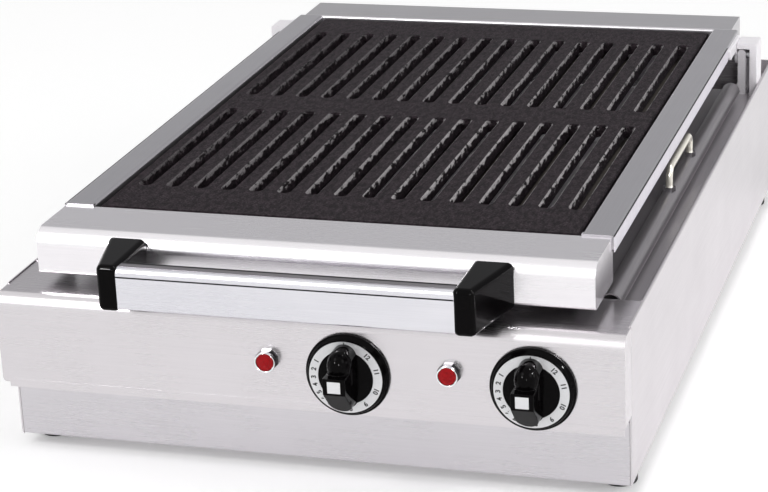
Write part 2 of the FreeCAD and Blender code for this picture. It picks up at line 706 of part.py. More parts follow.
def hinge_pin():
    """Headed pin from inside the arm to the post's outer wall, with a spacing collar."""
    arm = RAIL_HALF
    shank = rod(PIN_RADIUS, Vector(arm - FIT, PIVOT_Y, PIVOT_Z), Vector(HEM_FACE - SHEET, PIVOT_Y, PIVOT_Z))
    head = rod(PIN_HEAD_RADIUS, Vector(arm - FIT - PIN_HEAD, PIVOT_Y, PIVOT_Z),
               Vector(arm - FIT, PIVOT_Y, PIVOT_Z))
    collar = rod(PIN_HEAD_RADIUS, Vector(POST_INNER + EAR_SHEET + FIT, PIVOT_Y, PIVOT_Z),
                 Vector(POST_INNER + EAR_SHEET + FIT + PIN_HEAD, PIVOT_Y, PIVOT_Z))
    return shank.fuse(head).fuse(collar).removeSplitter()


def foot(x, y):
    body = Part.makeCone(FOOT_RADIUS - 2 * FIT, FOOT_RADIUS, FOOT_HEIGHT, Vector(x, y, -FOOT_HEIGHT))
    rim = [e for e in body.Edges if e.BoundBox.ZMax < -FOOT_HEIGHT + 1e-6]
    body = body.makeFillet(FOOT_EDGE_ROUND, rim)
    return body.cut(rod(FOOT_BOLT + FIT, Vector(x, y, -FOOT_HEIGHT / 2), Vector(x, y, SHEET)))


def foot_screw(x, y):
    shank = rod(FOOT_BOLT, Vector(x, y, -FOOT_HEIGHT / 2), Vector(x, y, 3 * SHEET + FOOT_NUT_HEIGHT))
    nut = hexagon(FOOT_NUT, Vector(x, y, 2 * SHEET), Vector(0, 0, 1), FOOT_NUT_HEIGHT)
    return shank.fuse(nut).removeSplitter()


def foot_holes(shape):
    for x, y in FOOT_PLACES:
        shape = shape.cut(rod(FOOT_BOLT + FIT, Vector(x, y, -SHEET), Vector(x, y, 4 * SHEET)))
    return shape


def regulator(x):
    """Control body behind the panel with its threaded bush through the panel and blades at its back."""
    back = PANEL_FACE + SHEET
    rear = back + REGULATOR_DEPTH
    z = KNOB_HEIGHT
    body = block(x - REGULATOR_WIDTH / 2, x + REGULATOR_WIDTH / 2, back, rear, z - REGULATOR_HEIGHT / 2,
                 z + REGULATOR_HEIGHT / 2)
    long_edges = [e for e in body.Edges if e.BoundBox.YLength > REGULATOR_DEPTH - 1e-6]
    body = body.makeFillet(REGULATOR_ROUND, long_edges)
    for i in range(BLADE_COUNT):
        blade_x = x - REGULATOR_WIDTH / 2 + REGULATOR_WIDTH * (i + 0.5) / BLADE_COUNT
        body = body.fuse(block(blade_x - BLADE_THICKNESS / 2, blade_x + BLADE_THICKNESS / 2, rear,
                               rear + BLADE_LENGTH, z - BLADE_WIDTH / 2, z + BLADE_WIDTH / 2))
    body = body.fuse(rod(BUSH_RADIUS, Vector(x, back, z), Vector(x, PANEL_FACE - BUSH_REACH, z)))
    bore = rod(SHAFT_RADIUS + SHAFT_PLAY, Vector(x, back + SHAFT_DEPTH + SHEET, z),
               Vector(x, PANEL_FACE - BUSH_REACH - SHEET, z))
    return body.cut(bore).removeSplitter()


def regulator_nut(x):
    base = Vector(x, PANEL_FACE - PANEL_NUT_HEIGHT, KNOB_HEIGHT)
    nut = hexagon(PANEL_NUT, base, Vector(0, 1, 0), PANEL_NUT_HEIGHT)
    return nut.cut(rod(BUSH_RADIUS + PIN_PLAY, Vector(x, PANEL_FACE - 2 * PANEL_NUT_HEIGHT, KNOB_HEIGHT),
                       Vector(x, PANEL_FACE + SHEET, KNOB_HEIGHT)))


def shaft(x):
    back = PANEL_FACE + SHEET + SHAFT_DEPTH
    body = rod(SHAFT_RADIUS, Vector(x, back, KNOB_HEIGHT), Vector(x, SHAFT_END, KNOB_HEIGHT))
    flat = block(x - SHAFT_RADIUS, x + SHAFT_RADIUS, SHAFT_END - SHEET, SKIRT_FRONT,
                 KNOB_HEIGHT + SHAFT_FLAT, KNOB_HEIGHT + SHAFT_RADIUS)
    return body.cut(flat)


def grip_outline(x, start, length):
    """Outline of the grip, rounded at both ends, run forwards by length from the depth start."""
    top, bottom = GRIP_TOP - GRIP_TOP_RADIUS, GRIP_TAIL - GRIP_TAIL_RADIUS
    forwards = Vector(0, -1, 0)
    upper = Part.makeCylinder(GRIP_TOP_RADIUS, length, Vector(x, start, KNOB_HEIGHT + top), forwards)
    lower = Part.makeCylinder(GRIP_TAIL_RADIUS, length, Vector(x, start, KNOB_HEIGHT - bottom), forwards)
    lean = math.asin((GRIP_TAIL_RADIUS - GRIP_TOP_RADIUS) / (top + bottom))
    sides = []
    for sign, radius, z in ((1, GRIP_TAIL_RADIUS, -bottom), (1, GRIP_TOP_RADIUS, top),
                            (-1, GRIP_TOP_RADIUS, top), (-1, GRIP_TAIL_RADIUS, -bottom)):
        sides.append((x + sign * radius * math.cos(lean), KNOB_HEIGHT + z + radius * math.sin(lean)))
    neck = solid_from(sides, [0] * 4, on_xz(start), forwards * length)
    return upper.fuse(lower).fuse(neck).removeSplitter()


def grip_profile(x, points, radii, face, edge):
    """Side view of a part of the grip, with its long front edges rounded."""
    width = GRIP_TOP_RADIUS
    start = SKIRT_FRONT + SHEET
    raised = [(y, KNOB_HEIGHT + z) for y, z in points]
    side = solid_from(raised, radii, on_yz(x - width), Vector(2 * width, 0, 0))
    plan = [(x - width, start), (x + width, start), (x + width, face), (x - width, face)]
    rounded = solid_from(plan, [0, 0, edge, edge], on_xy(KNOB_HEIGHT - GRIP_TAIL),
                         Vector(0, 0, GRIP_TAIL + GRIP_TOP))
    return side.common(rounded)


def knob_grip(x):
    """Grip of the knob: a tail that climbs to the seat of the insert, a neck and a round lobe above it."""
    start = SKIRT_FRONT + SHEET
    toe, neck = SKIRT_FRONT - TAIL_RISE, SKIRT_FRONT - NECK_RISE
    tail = [(start, -GRIP_TAIL), (toe, -GRIP_TAIL), (SEAT_FACE, -SEAT_LOW), (SEAT_FACE, SEAT_HIGH),
            (start, SEAT_HIGH)]
    lobe = [(start, -SEAT_LOW), (neck, -SEAT_LOW), (neck, SEAT_HIGH), (LOBE_FACE, LOBE_LOW),
            (LOBE_FACE, GRIP_TOP), (start, GRIP_TOP)]
    low = grip_profile(x, tail, [0, TAIL_ROUND, TAIL_ROUND, SEAT_EDGE, 0], SEAT_FACE, TAIL_EDGE)
    high = grip_profile(x, lobe, [0, 0, 0, SEAT_EDGE, LOBE_CROWN, 0], LOBE_FACE, LOBE_ROUND)
    return grip_outline(x, start, SEAT_RISE + 2 * SHEET).common(low.fuse(high)).removeSplitter()


def insert_block(x, grow, front):
    half = INSERT_SIDE / 2 + grow
    z = KNOB_HEIGHT + INSERT_LIFT
    back = SEAT_FACE + INSERT_THICKNESS - INSERT_PROUD
    return block(x - half, x + half, front, back, z - half, z + half)


def knob(x):
    """One moulding: conical skirt with a groove for the dial ring, and the grip."""
    face = PANEL_FACE - KNOB_STANDOFF
    outer, inner = RING_OUTER + RING_PLAY, RING_INNER - RING_PLAY
    profile = [(0, face), (KNOB_RADIUS, face), (KNOB_RADIUS, face - KNOB_EDGE), (outer + FIT, SKIRT_FRONT),
               (outer, SKIRT_FRONT), (outer, RING_SEAT), (inner, RING_SEAT), (inner, SKIRT_FRONT),
               (0, SKIRT_FRONT)]
    wire = Part.makePolygon([Vector(x + r, y, KNOB_HEIGHT) for r, y in profile + profile[:1]])
    skirt = Part.Face(wire).revolve(Vector(x, 0, KNOB_HEIGHT), Vector(0, 1, 0), 360)
    body = skirt.fuse(knob_grip(x)).removeSplitter()
    body = body.cut(insert_block(x, RING_PLAY, SEAT_FACE - SHEET))
    body = body.cut(rod(KNOB_RECESS, Vector(x, PANEL_FACE, KNOB_HEIGHT),
                        Vector(x, PANEL_FACE - KNOB_RECESS_DEPTH, KNOB_HEIGHT)))
    return body.cut(rod(SHAFT_RADIUS + PIN_PLAY, Vector(x, PANEL_FACE, KNOB_HEIGHT),
                        Vector(x, SHAFT_END - FIT, KNOB_HEIGHT)))


def dial_ring(x):
    front = RING_SEAT - RING_THICKNESS
    outer = rod(RING_OUTER, Vector(x, RING_SEAT, KNOB_HEIGHT), Vector(x, front, KNOB_HEIGHT))
    hole = rod(RING_INNER, Vector(x, RING_SEAT + SHEET, KNOB_HEIGHT), Vector(x, front - SHEET, KNOB_HEIGHT))
    return outer.cut(hole).cut(knob_grip(x))


def knob_insert(x):
    return insert_block(x, 0, SEAT_FACE - INSERT_PROUD)


def ring_points(radius, count, x, y, z, turn):
    points = []
    for i in range(count + 1):
        angle = 2 * math.pi * (i + turn) / count
        points.append(Vector(x + radius * math.cos(angle), y, z + radius * math.sin(angle)))
    return points


def pilot_bezel(x):
    """Eight-sided bright bezel that tapers forwards, bored for the lens."""
    z, tip = PILOT_HEIGHT, PANEL_FACE - BEZEL_HEIGHT
    low = Part.makePolygon(ring_points(BEZEL_RADIUS, 8, x, PANEL_FACE, z, 0.5))
    high = Part.makePolygon(ring_points(BEZEL_RADIUS - BEZEL_TAPER, 8, x, tip, z, 0.5))
    bore = rod(LENS_RADIUS + LENS_PLAY, Vector(x, PANEL_FACE + SHEET, z), Vector(x, tip - SHEET, z))
    return Part.makeLoft([low, high], True, True).cut(bore)


def pilot_lens(x):
    """Red lens: a cylinder closed by an eight-sided faceted crown."""
    z, front = PILOT_HEIGHT, PANEL_FACE - BEZEL_HEIGHT + LENS_SINK
    body = rod(LENS_RADIUS, Vector(x, PANEL_FACE, z), Vector(x, front, z))
    low = Part.makePolygon(ring_points(LENS_RADIUS, 8, x, front, z, 0.5))
    high = Part.makePolygon(ring_points(LENS_TABLE, 8, x, front - LENS_RISE, z, 0.5))
    return body.fuse(Part.makeLoft([low, high], True, True)).removeSplitter()


def lampholder(x):
    z, back = PILOT_HEIGHT, PANEL_FACE + SHEET + LAMP_LENGTH
    body = rod(LAMP_RADIUS, Vector(x, PANEL_FACE, z), Vector(x, back, z))
    body = body.fuse(hexagon(LAMP_NUT, Vector(x, PANEL_FACE + SHEET, z), Vector(0, 1, 0), LAMP_NUT_HEIGHT))
    for side in (-1, 1):
        middle = x + side * LAMP_RADIUS / 2
        body = body.fuse(block(middle - BLADE_THICKNESS / 2, middle + BLADE_THICKNESS / 2, back,
                               back + BLADE_LENGTH, z - BLADE_WIDTH / 2, z + BLADE_WIDTH / 2))
    return body.removeSplitter()


def frame_fascia():
    """Front of the lift-up frame: one folded channel with a rounded top edge and closed ends."""
    path = [(FASCIA_FRONT + FASCIA_RETURN, FASCIA_BOTTOM), (FASCIA_FRONT, FASCIA_BOTTOM),
            (FASCIA_FRONT, FASCIA_TOP), (FASCIA_BACK, FASCIA_TOP), (FASCIA_BACK, SEAT_TOP),
            (FASCIA_BACK + SEAT_WIDTH, SEAT_TOP)]
    run = Vector(2 * FASCIA_HALF, 0, 0)
    channel = folded(path[::-1], [BEND, BEND, FASCIA_RADIUS, BEND], SHEET, on_yz(-FASCIA_HALF), run)
    for side in (-1, 1):
        inner = side * (OPENING_HALF - SEAT_WIDTH - FIT)
        outer = side * (FASCIA_HALF + FIT)
        channel = channel.cut(block(min(inner, outer), max(inner, outer), FASCIA_BACK,
                                    FASCIA_BACK + 2 * SEAT_WIDTH, 0, FASCIA_TOP - SHEET))
        end = [(FASCIA_FRONT, FASCIA_BOTTOM), (FASCIA_BACK, FASCIA_BOTTOM), (FASCIA_BACK, FASCIA_TOP),
               (FASCIA_FRONT, FASCIA_TOP)]
        x = side * FASCIA_HALF if side < 0 else FASCIA_HALF - SHEET
        cap = solid_from(end, [BEND + SHEET, BEND, BEND + SHEET, FASCIA_RADIUS + SHEET], on_yz(x),
                         Vector(SHEET, 0, 0))
        channel = channel.fuse(cap)
    for x, z in BOLTS:
        channel = channel.cut(rod(BOLT_RADIUS + FIT, Vector(x, FASCIA_FRONT - SHEET, z),
                                  Vector(x, FASCIA_FRONT + 2 * SHEET, z)))
    return channel.removeSplitter()


def side_rail():
    """Rail beside the plate: seat, step up, flange and outer drop, folded from one strip."""
    path = [(OPENING_HALF - SEAT_WIDTH, SEAT_TOP), (OPENING_HALF, SEAT_TOP), (OPENING_HALF, RAIL_TOP),
            (RAIL_HALF, RAIL_TOP), (RAIL_HALF, RAIL_TOP - RAIL_DROP)]
    start = FASCIA_BACK + FIT
    rail = folded(path[::-1], [BEND, BEND, BEND], SHEET, on_xz(start),
                  Vector(0, REAR_RAIL_FRONT - start, 0))
    tongue = block(OPENING_HALF, RAIL_HALF - BEND, FASCIA_BACK - RAIL_LAP, start + RAIL_LAP, FASCIA_TOP,
                   RAIL_TOP)
    return rail.fuse(tongue).removeSplitter()


def rear_rail():
    """Closed-ended channel behind the plate; its hollow takes the element terminals."""
    low = RAIL_TOP - REAR_RAIL_DROP
    path = [(REAR_RAIL_FRONT, low), (REAR_RAIL_FRONT, RAIL_TOP), (REAR_RAIL_BACK, RAIL_TOP),
            (REAR_RAIL_BACK, low)]
    run = Vector(2 * REAR_RAIL_HALF, 0, 0)
    rail = folded(path[::-1], [BEND, BEND], SHEET, on_yz(-REAR_RAIL_HALF), run)
    for side in (-1, 1):
        end = [(REAR_RAIL_FRONT, low), (REAR_RAIL_BACK, low), (REAR_RAIL_BACK, RAIL_TOP),
               (REAR_RAIL_FRONT, RAIL_TOP)]
        x = -REAR_RAIL_HALF if side < 0 else REAR_RAIL_HALF - SHEET
        rail = rail.fuse(solid_from(end, [0, 0, BEND + SHEET, BEND + SHEET], on_yz(x), Vector(SHEET, 0, 0)))
    seat_half = OPENING_HALF - SEAT_WIDTH - FIT
    seat = block(-seat_half, seat_half, REAR_RAIL_FRONT - SEAT_WIDTH, REAR_RAIL_FRONT + SHEET / 2,
                 SEAT_TOP - SHEET, SEAT_TOP)
    rail = rail.fuse(seat)
    for x in tube_ends():
        rail = rail.cut(rod(TUBE_RADIUS + FIT, Vector(x, REAR_RAIL_FRONT - SHEET, TUBE_HEIGHT),
                            Vector(x, REAR_RAIL_FRONT + 2 * SHEET, TUBE_HEIGHT)))
    return rail.removeSplitter()


def rear_rail_cover():
    low = RAIL_TOP - REAR_RAIL_DROP
    x = REAR_RAIL_HALF
    return block(-x, x, REAR_RAIL_FRONT, REAR_RAIL_BACK, low - SHEET, low)


def grill_plate():
    """Cast plate: a flat rim, a cross band and two rows of drafted slots between flat bars."""
    half = OPENING_HALF - PLATE_CLEARANCE
    points = [(-half, PLATE_FRONT), (half, PLATE_FRONT), (half, PLATE_BACK), (-half, PLATE_BACK)]
    plate = solid_from(points, [PLATE_CORNER] * 4, on_xy(SEAT_TOP), Vector(0, 0, PLATE_THICKNESS))
    rims = [e for e in plate.Edges if e.BoundBox.ZLength < 1e-6]
    plate = plate.makeChamfer(PLATE_CHAMFER, rims)
    first = -SLOT_PITCH * (SLOT_COUNT - 1) / 2
    cutters = []
    for row in range(2):
        y0 = SLOT_FRONT + row * (SLOT_LENGTH + CROSS_BAND)
        for i in range(SLOT_COUNT):
            cutters.append(slot_cutter(first + i * SLOT_PITCH, y0, y0 + SLOT_LENGTH))
    return plate.cut(Part.makeCompound(cutters))


def tube_ends():
    return [side * (TUBE_FIRST_X + i * TUBE_PITCH) for side in (-1, 1) for i in (0, TUBE_PASSES - 1)]


def heating_element():
    """Tubular element in one plane: straight passes joined by half-round bends, both ends at the back."""
    z = TUBE_HEIGHT
    r = TUBE_PITCH / 2
    front, rear = TUBE_FRONT, TUBE_REAR_BEND
    edges = []
    y = TUBE_END
    for i in range(TUBE_PASSES):
        x = TUBE_FIRST_X + i * TUBE_PITCH
        last = i == TUBE_PASSES - 1
        target = TUBE_END if last else (front if i % 2 == 0 else rear)
        edges.append(Part.makeLine(Vector(x, y, z), Vector(x, target, z)))
        y = target
        if not last:
            reach = -r if i % 2 == 0 else r
            arc = Part.Arc(Vector(x, y, z), Vector(x + r, y + reach, z), Vector(x + 2 * r, y, z))
            edges.append(arc.toShape())
    ring = Part.Wire([Part.makeCircle(TUBE_RADIUS, Vector(TUBE_FIRST_X, TUBE_END, z), Vector(0, 1, 0))])
    return Part.Wire(edges).makePipeShell([ring], True, False)


def element_terminal(x):
    """Bush and threaded stud on the cold end of a tube, inside the rear rail."""
    end = Vector(x, TUBE_END, TUBE_HEIGHT)
    bush = rod(TUBE_RADIUS + SHEET, end, end + Vector(0, TERMINAL_BUSH, 0))
    stud = rod(STUD_RADIUS, end, end + Vector(0, STUD_LENGTH, 0))
    nut = hexagon(STUD_NUT, end + Vector(0, STUD_LENGTH / 2, 0), Vector(0, 1, 0), STUD_NUT_HEIGHT)
    return bush.fuse(stud).fuse(nut).removeSplitter()


def element_support(y):
    """Strip under the tubes, turned up at both ends and out under the seats of the rails."""
    seat = SEAT_TOP - SHEET
    low = TUBE_HEIGHT - TUBE_RADIUS - FIT
    wall = OPENING_HALF - SEAT_WIDTH
    path = [(-wall - SUPPORT_FLANGE, seat), (-wall, seat), (-wall, low), (wall, low), (wall, seat),
            (wall + SUPPORT_FLANGE, seat)]
    return folded(path[::-1], [BEND] * 4, SHEET, on_xz(y), Vector(0, SUPPORT_WIDTH, 0))


def hinge_arm():
    """Flat arm on the outside of the side rail, ending in an eye on the pivot."""
    x = RAIL_HALF
    top = RAIL_TOP - BEND - SHEET
    low = RAIL_TOP - RAIL_DROP
    start, end = PIVOT_Y - ARM_LENGTH, PIVOT_Y + ARM_EYE
    run = Vector(ARM_THICKNESS, 0, 0)
    strap = [(start, low - SHEET), (PIVOT_Y - 2 * ARM_EYE, low - SHEET), (PIVOT_Y - ARM_EYE, PIVOT_Z),
             (end, PIVOT_Z), (end, top), (start, top)]
    web = solid_from(strap, [ARM_CORNER, ARM_CORNER, 0, 0, ARM_SHOULDER, ARM_CORNER], on_yz(x), run)
    eye = Part.makeCylinder(ARM_EYE, ARM_THICKNESS, Vector(x, PIVOT_Y, PIVOT_Z), Vector(1, 0, 0))
    bore = rod(PIN_RADIUS + PIN_PLAY, Vector(x - SHEET, PIVOT_Y, PIVOT_Z),
               Vector(x + 2 * ARM_THICKNESS, PIVOT_Y, PIVOT_Z))
    return web.fuse(eye).cut(bore).removeSplitter()


def bar_section(grow, reach):
    """Outside of the handle bar, larger by grow all round."""
    y0 = BRACKET_FRONT + BAR_SETBACK - grow
    y1 = y0 + BAR_THICKNESS + 2 * grow
    z0 = BRACKET_BOTTOM + BAR_LIFT - grow
    z1 = z0 + BAR_HEIGHT + 2 * grow
    points = [(y0, z0), (y1, z0), (y1, z1), (y0, z1)]
    radii = [BAR_EDGE + grow, BAR_EDGE + grow, BAR_EDGE + grow, BAR_ROUND + grow]
    return solid_from(points, radii, on_yz(-reach), Vector(2 * reach, 0, 0))


def handle_bracket():
    """Moulded end of the handle: full width on the fascia, narrowing to a socket for the bar."""
    points = [(BRACKET_INNER, FASCIA_FRONT), (BRACKET_INNER + BRACKET_WIDTH, FASCIA_FRONT),
              (BRACKET_INNER + BRACKET_NOSE, BRACKET_FRONT), (BRACKET_INNER, BRACKET_FRONT)]
    body = solid_from(points, [0] * 4, on_xy(BRACKET_BOTTOM), Vector(0, 0, BRACKET_TOP - BRACKET_BOTTOM))
    free = [e for e in body.Edges if e.BoundBox.YMin < FASCIA_FRONT - FIT]
    body = body.makeFillet(BRACKET_ROUND, free)
    body = body.cut(bar_section(FIT / 2, BRACKET_INNER + BAR_SOCKET + FIT))
    for x, z in BOLTS[2:]:
        body = body.cut(rod(BOLT_RADIUS + PIN_PLAY, Vector(x, FASCIA_FRONT + SHEET, z),
                            Vector(x, FASCIA_FRONT - BOLT_GRIP - SHEET, z)))
    return body


def handle_bar():
    """Extruded hollow flat bar with rounded edges and a fine groove along its face."""
    reach = BRACKET_INNER + BAR_SOCKET
    bar = bar_section(0, reach).cut(bar_section(-BAR_WALL, reach + FIT))
    face = BRACKET_FRONT + BAR_SETBACK
    middle = BRACKET_BOTTOM + BAR_LIFT + BAR_HEIGHT - BAR_GROOVE_DROP
    half, depth = BAR_GROOVE / 2, BAR_GROOVE_DEPTH
    profile = [(face - depth, middle - half), (face + depth, middle - half / 2),
               (face + depth, middle + half / 2), (face - depth, middle + half)]
    return bar.cut(solid_from(profile, [0] * 4, on_yz(-reach), Vector(2 * reach, 0, 0)))


def handle_screw(x, z):
    seat = Vector(x, FASCIA_FRONT + SHEET, z)
    head = hexagon(BOLT_HEAD, seat, Vector(0, 1, 0), BOLT_HEAD_HEIGHT)
    return head.fuse(rod(BOLT_RADIUS, seat, Vector(x, FASCIA_FRONT - BOLT_GRIP, z))).removeSplitter()


def terminal_block():
    """Five-pole block near the cord entry, with screw wells on top and wire mouths front and back."""
    x, y, z = GLAND_X + BLOCK_OFFSET, BODY_DEPTH - BLOCK_SETBACK, 3 * SHEET
    body = block(x, x + BLOCK_WIDTH, y, y + BLOCK_DEPTH, 2 * SHEET, z + BLOCK_HEIGHT)
    top = z + BLOCK_HEIGHT
    for i in range(BLOCK_POLES):
        centre = x + BLOCK_WIDTH * (i + 0.5) / BLOCK_POLES
        body = body.cut(rod(POLE_SCREW, Vector(centre, y + BLOCK_DEPTH / 2, top + SHEET),
                            Vector(centre, y + BLOCK_DEPTH / 2, top - POLE_DEPTH)))
        for end in (y, y + BLOCK_DEPTH):
            body = body.cut(block(centre - POLE_SCREW, centre + POLE_SCREW, end - POLE_SCREW,
                                  end + POLE_SCREW, z + POLE_SCREW, z + 3 * POLE_SCREW))
    return body


def cable_gland():
    """Gland body outside, its thread through the rear panel, and the lock nut inside."""
    axis = Vector(0, 1, 0)
    base = Vector(GLAND_X, BODY_DEPTH - SHEET, GLAND_HEIGHT)
    flange = hexagon(GLAND_RADIUS + 2 * SHEET, base, axis, GLAND_FLANGE)
    thread = rod(GLAND_RADIUS - SHEET, base - axis * GLAND_THREAD, base)
    cap = Part.makeCone(GLAND_RADIUS + SHEET, GLAND_RADIUS - SHEET, GLAND_LENGTH + SHEET - GLAND_FLANGE,
                        base + axis * GLAND_FLANGE, axis)
    body = flange.fuse(thread).fuse(cap)
    body = body.cut(rod(GLAND_BORE, base - axis * 2 * GLAND_THREAD, base + axis * 2 * GLAND_LENGTH))
    nut = hexagon(GLAND_RADIUS + 2 * SHEET, base - axis * (SHEET + GLAND_NUT_HEIGHT), axis, GLAND_NUT_HEIGHT)
    nut = nut.cut(rod(GLAND_RADIUS - SHEET + PIN_PLAY, base - axis * 2 * GLAND_THREAD, base + axis))
    return body.removeSplitter(), nut


def rest_pad(x):
    y = FASCIA_FRONT + PAD_SETBACK
    return rod(PAD_RADIUS, Vector(x, y, LEDGE_HEIGHT), Vector(x, y, FASCIA_BOTTOM))


def casing_screws():
    """Dome-headed screws of the rear panel and of the hinge ears."""
    screws = []
    ear_x = POST_INNER + EAR_WIDTH / 2 + SHEET / 2
    for side in (-1, 1):
        for z in REAR_SCREWS:
            screws.append(pan_head(Vector(side * (HALF - FLANGE / 2), BODY_DEPTH, z), Vector(0, 1, 0),
                                   SCREW_RADIUS, SCREW_HEIGHT))
        screws.append(pan_head(Vector(side * ear_x, PIVOT_Y, GUTTER_HEIGHT + EAR_SHEET), Vector(0, 0, 1),
                               EAR_SCREW_RADIUS, SCREW_HEIGHT))
    return screws


def build_casing():
    wall = foot_holes(side_panel())
    keep("side_panel_right", wall)
    keep("side_panel_left", foot_holes(mirrored(side_panel())))
    keep("front_plinth", front_plinth())
    keep("base_plate", foot_holes(base_plate()))
    keep("rear_panel", rear_panel())
    keep("control_panel", control_panel())
    keep("control_box_wall", control_box_wall())
    ledge = gutter_ledge()
    keep("gutter_ledge_right", ledge)
    keep("gutter_ledge_left", mirrored(ledge))
    rail = pan_rest_rail()
    keep("pan_rest_rails", rail, mirrored(rail))
    keep("feet", *[foot(x, y) for x, y in FOOT_PLACES])
    keep("foot_screws", *[foot_screw(x, y) for x, y in FOOT_PLACES])
    keep("frame_rest_pads", *[rest_pad(side * BOLT_X) for side in (-1, 1)])
    keep("casing_screws", *casing_screws())


def build_pan():
    keep("water_pan", water_pan())
    rim, bail = pan_rim(), pan_handle()
    keep("pan_rim_right", rim)
    keep("pan_rim_left", mirrored(rim))
    keep("pan_handle_right", bail)
    keep("pan_handle_left", mirrored(bail))
    collars = [pan_handle_collar(side) for side in (-1, 1)]
    keep("pan_handle_nuts", *collars, *[mirrored(collar) for collar in collars])


def build_controls():
    for name, x in zip(("left", "right"), KNOB_X):
        keep("energy_regulator_" + name, regulator(x))
        keep("regulator_shaft_" + name, shaft(x))
        keep("knob_" + name, knob(x))
        keep("dial_ring_" + name, dial_ring(x))
        keep("knob_insert_" + name, knob_insert(x))
    keep("regulator_nuts", *[regulator_nut(x) for x in KNOB_X])
    for name, x in zip(("left", "right"), PILOT_X):
        keep("pilot_bezel_" + name, pilot_bezel(x))
        keep("pilot_lens_" + name, pilot_lens(x))
    keep("pilot_lampholders", *[lampholder(x) for x in PILOT_X])
    keep("terminal_block", terminal_block())
    keep("cable_gland", *cable_gland())


def build_frame():
    keep("frame_fascia", frame_fascia())
    rail = side_rail()
    keep("side_rail_right", rail)
    keep("side_rail_left", mirrored(rail))
    keep("rear_rail", rear_rail())
    keep("rear_rail_cover", rear_rail_cover())
    keep("grill_plate", grill_plate())
    element = heating_element()
    keep("heating_element_right", element)
    keep("heating_element_left", mirrored(element))
    keep("element_terminals", *[element_terminal(x) for x in tube_ends()])
    keep("element_supports", *[element_support(PLATE_FRONT + part * (PLATE_BACK - PLATE_FRONT))
                                for part in SUPPORT_FRACTIONS])
    bracket = handle_bracket()
    keep("handle_bracket_right", bracket)
    keep("handle_bracket_left", mirrored(bracket))
    keep("handle_bar", handle_bar())
    keep("handle_screws", *[handle_screw(x, z) for x, z in BOLTS])


def build_hinges():
    arm, post, ear, pin = hinge_arm(), hinge_post(), hinge_ear(), hinge_pin()
    keep("hinge_arm_right", arm)
    keep("hinge_arm_left", mirrored(arm))
    keep("hinge_post_right", post)
    keep("hinge_post_left", mirrored(post))
    keep("hinge_ears", ear, mirrored(ear))
    keep("hinge_pins", pin, mirrored(pin))


build_casing()
build_pan()
build_controls()
build_frame()
build_hinges()

os.makedirs("parts", exist_ok=True)
for node, shape in sorted(NODES.items()):
    shape.exportStep("parts/" + node + ".step")
print(len(NODES), "nodes written")
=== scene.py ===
import math

import bmesh
import bpy
from mathutils import Matrix, Vector


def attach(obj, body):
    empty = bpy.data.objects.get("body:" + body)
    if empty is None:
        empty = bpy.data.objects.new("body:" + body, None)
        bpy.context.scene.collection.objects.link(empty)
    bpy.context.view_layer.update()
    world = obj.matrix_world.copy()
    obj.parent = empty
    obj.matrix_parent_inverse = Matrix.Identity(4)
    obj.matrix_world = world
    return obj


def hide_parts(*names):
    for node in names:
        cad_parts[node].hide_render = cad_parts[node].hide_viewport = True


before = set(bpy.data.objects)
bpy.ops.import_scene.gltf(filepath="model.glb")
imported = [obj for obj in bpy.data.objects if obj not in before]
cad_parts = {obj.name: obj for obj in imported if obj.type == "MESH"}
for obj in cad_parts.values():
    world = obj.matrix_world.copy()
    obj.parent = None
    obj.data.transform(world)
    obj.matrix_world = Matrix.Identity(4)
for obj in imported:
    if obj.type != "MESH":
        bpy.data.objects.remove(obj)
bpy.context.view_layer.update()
MM = 0.001

# Places of the front controls, in millimetres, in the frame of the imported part
KNOB_X = {"left": 38.0, "right": 181.3}
KNOB_Z = 95.5
PANEL_Y = -362.85
SKIRT_Y = PANEL_Y - 7.0
RING_Y = SKIRT_Y - 0.2
PILOT_X = {"left": -25.9, "right": 117.4}
PILOT_Z = 102.7

# The grip: sunk into the skirt, with a square seat, a round lobe above it and a sloping tail below
GRIP_SINK = 1.0
SEAT_RISE = 29.0
SEAT_TOP = 10.2
SEAT_DROP = 2.5
TOE_RISE = 9.5
GRIP_TAIL = 23.8
TAIL_RADIUS = 8.8
LOBE_RADIUS = 9.5
LOBE_TALL = 14.0
LOBE_MIDDLE = 17.5
DOME_DEEP = 11.0
DOME_TALL = 12.4
DOME_RISE = 12.5
DOME_MIDDLE = 14.6
GRIP_VOXEL = 0.4
GRIP_ROUNDS = 5

# The plain insert on the seat
INSERT_WIDE = 10.2
INSERT_TALL = 9.2
INSERT_THICK = 1.0
INSERT_PROUD = 0.3
INSERT_MIDDLE = 3.6
INSERT_EDGE = 0.2

# Print on the dial ring
PRINT_THICK = 0.08
NUMERAL_SIZE = 5.2
NUMERAL_SPREAD = 0.18
NUMERAL_RADIUS = 25.2
TICK_WIDE = 0.8
TICK_LONG = 4.2
TICK_RADIUS = 26.2

# The lower edge of the control panel
HEM_LEFT = -244.0
HEM_RIGHT = 249.0
HEM_LOW = 62.2
HEM_TALL = 7.0
HEM_THICK = 2.0
HEM_PROUD = 0.05

# The bar and the rails of the lift-up frame
BAR_FACE = -395.35
BAR_TOP = 181.0
BAR_LONG = 262.0
GROOVE_DROP = 7.0
RAIL_HALF = 224.5
RAIL_TOP = 186.5
LEG_LONG = 530.0
LEG_MIDDLE = -9.0

# The plate: a slot's wall inside FIELD_HALF gets painted light, a lighter tone as if lit, where its height,
# plus RAGGED times a 0 to 1 noise, passes from the first to the second height below
FIELD_HALF = 191.0
FIELD_FADE = 2.0
RAGGED = 20.0
LIT_WALL_FROM = 191.2
LIT_WALL_FULL = 192.6

# The painted light on the slot walls grows from left to right and from back to front, between the places
# below
LIT_LEFT, LIT_RIGHT = -200.0, 40.0
LIT_BACK, LIT_FRONT = 250.0, -60.0

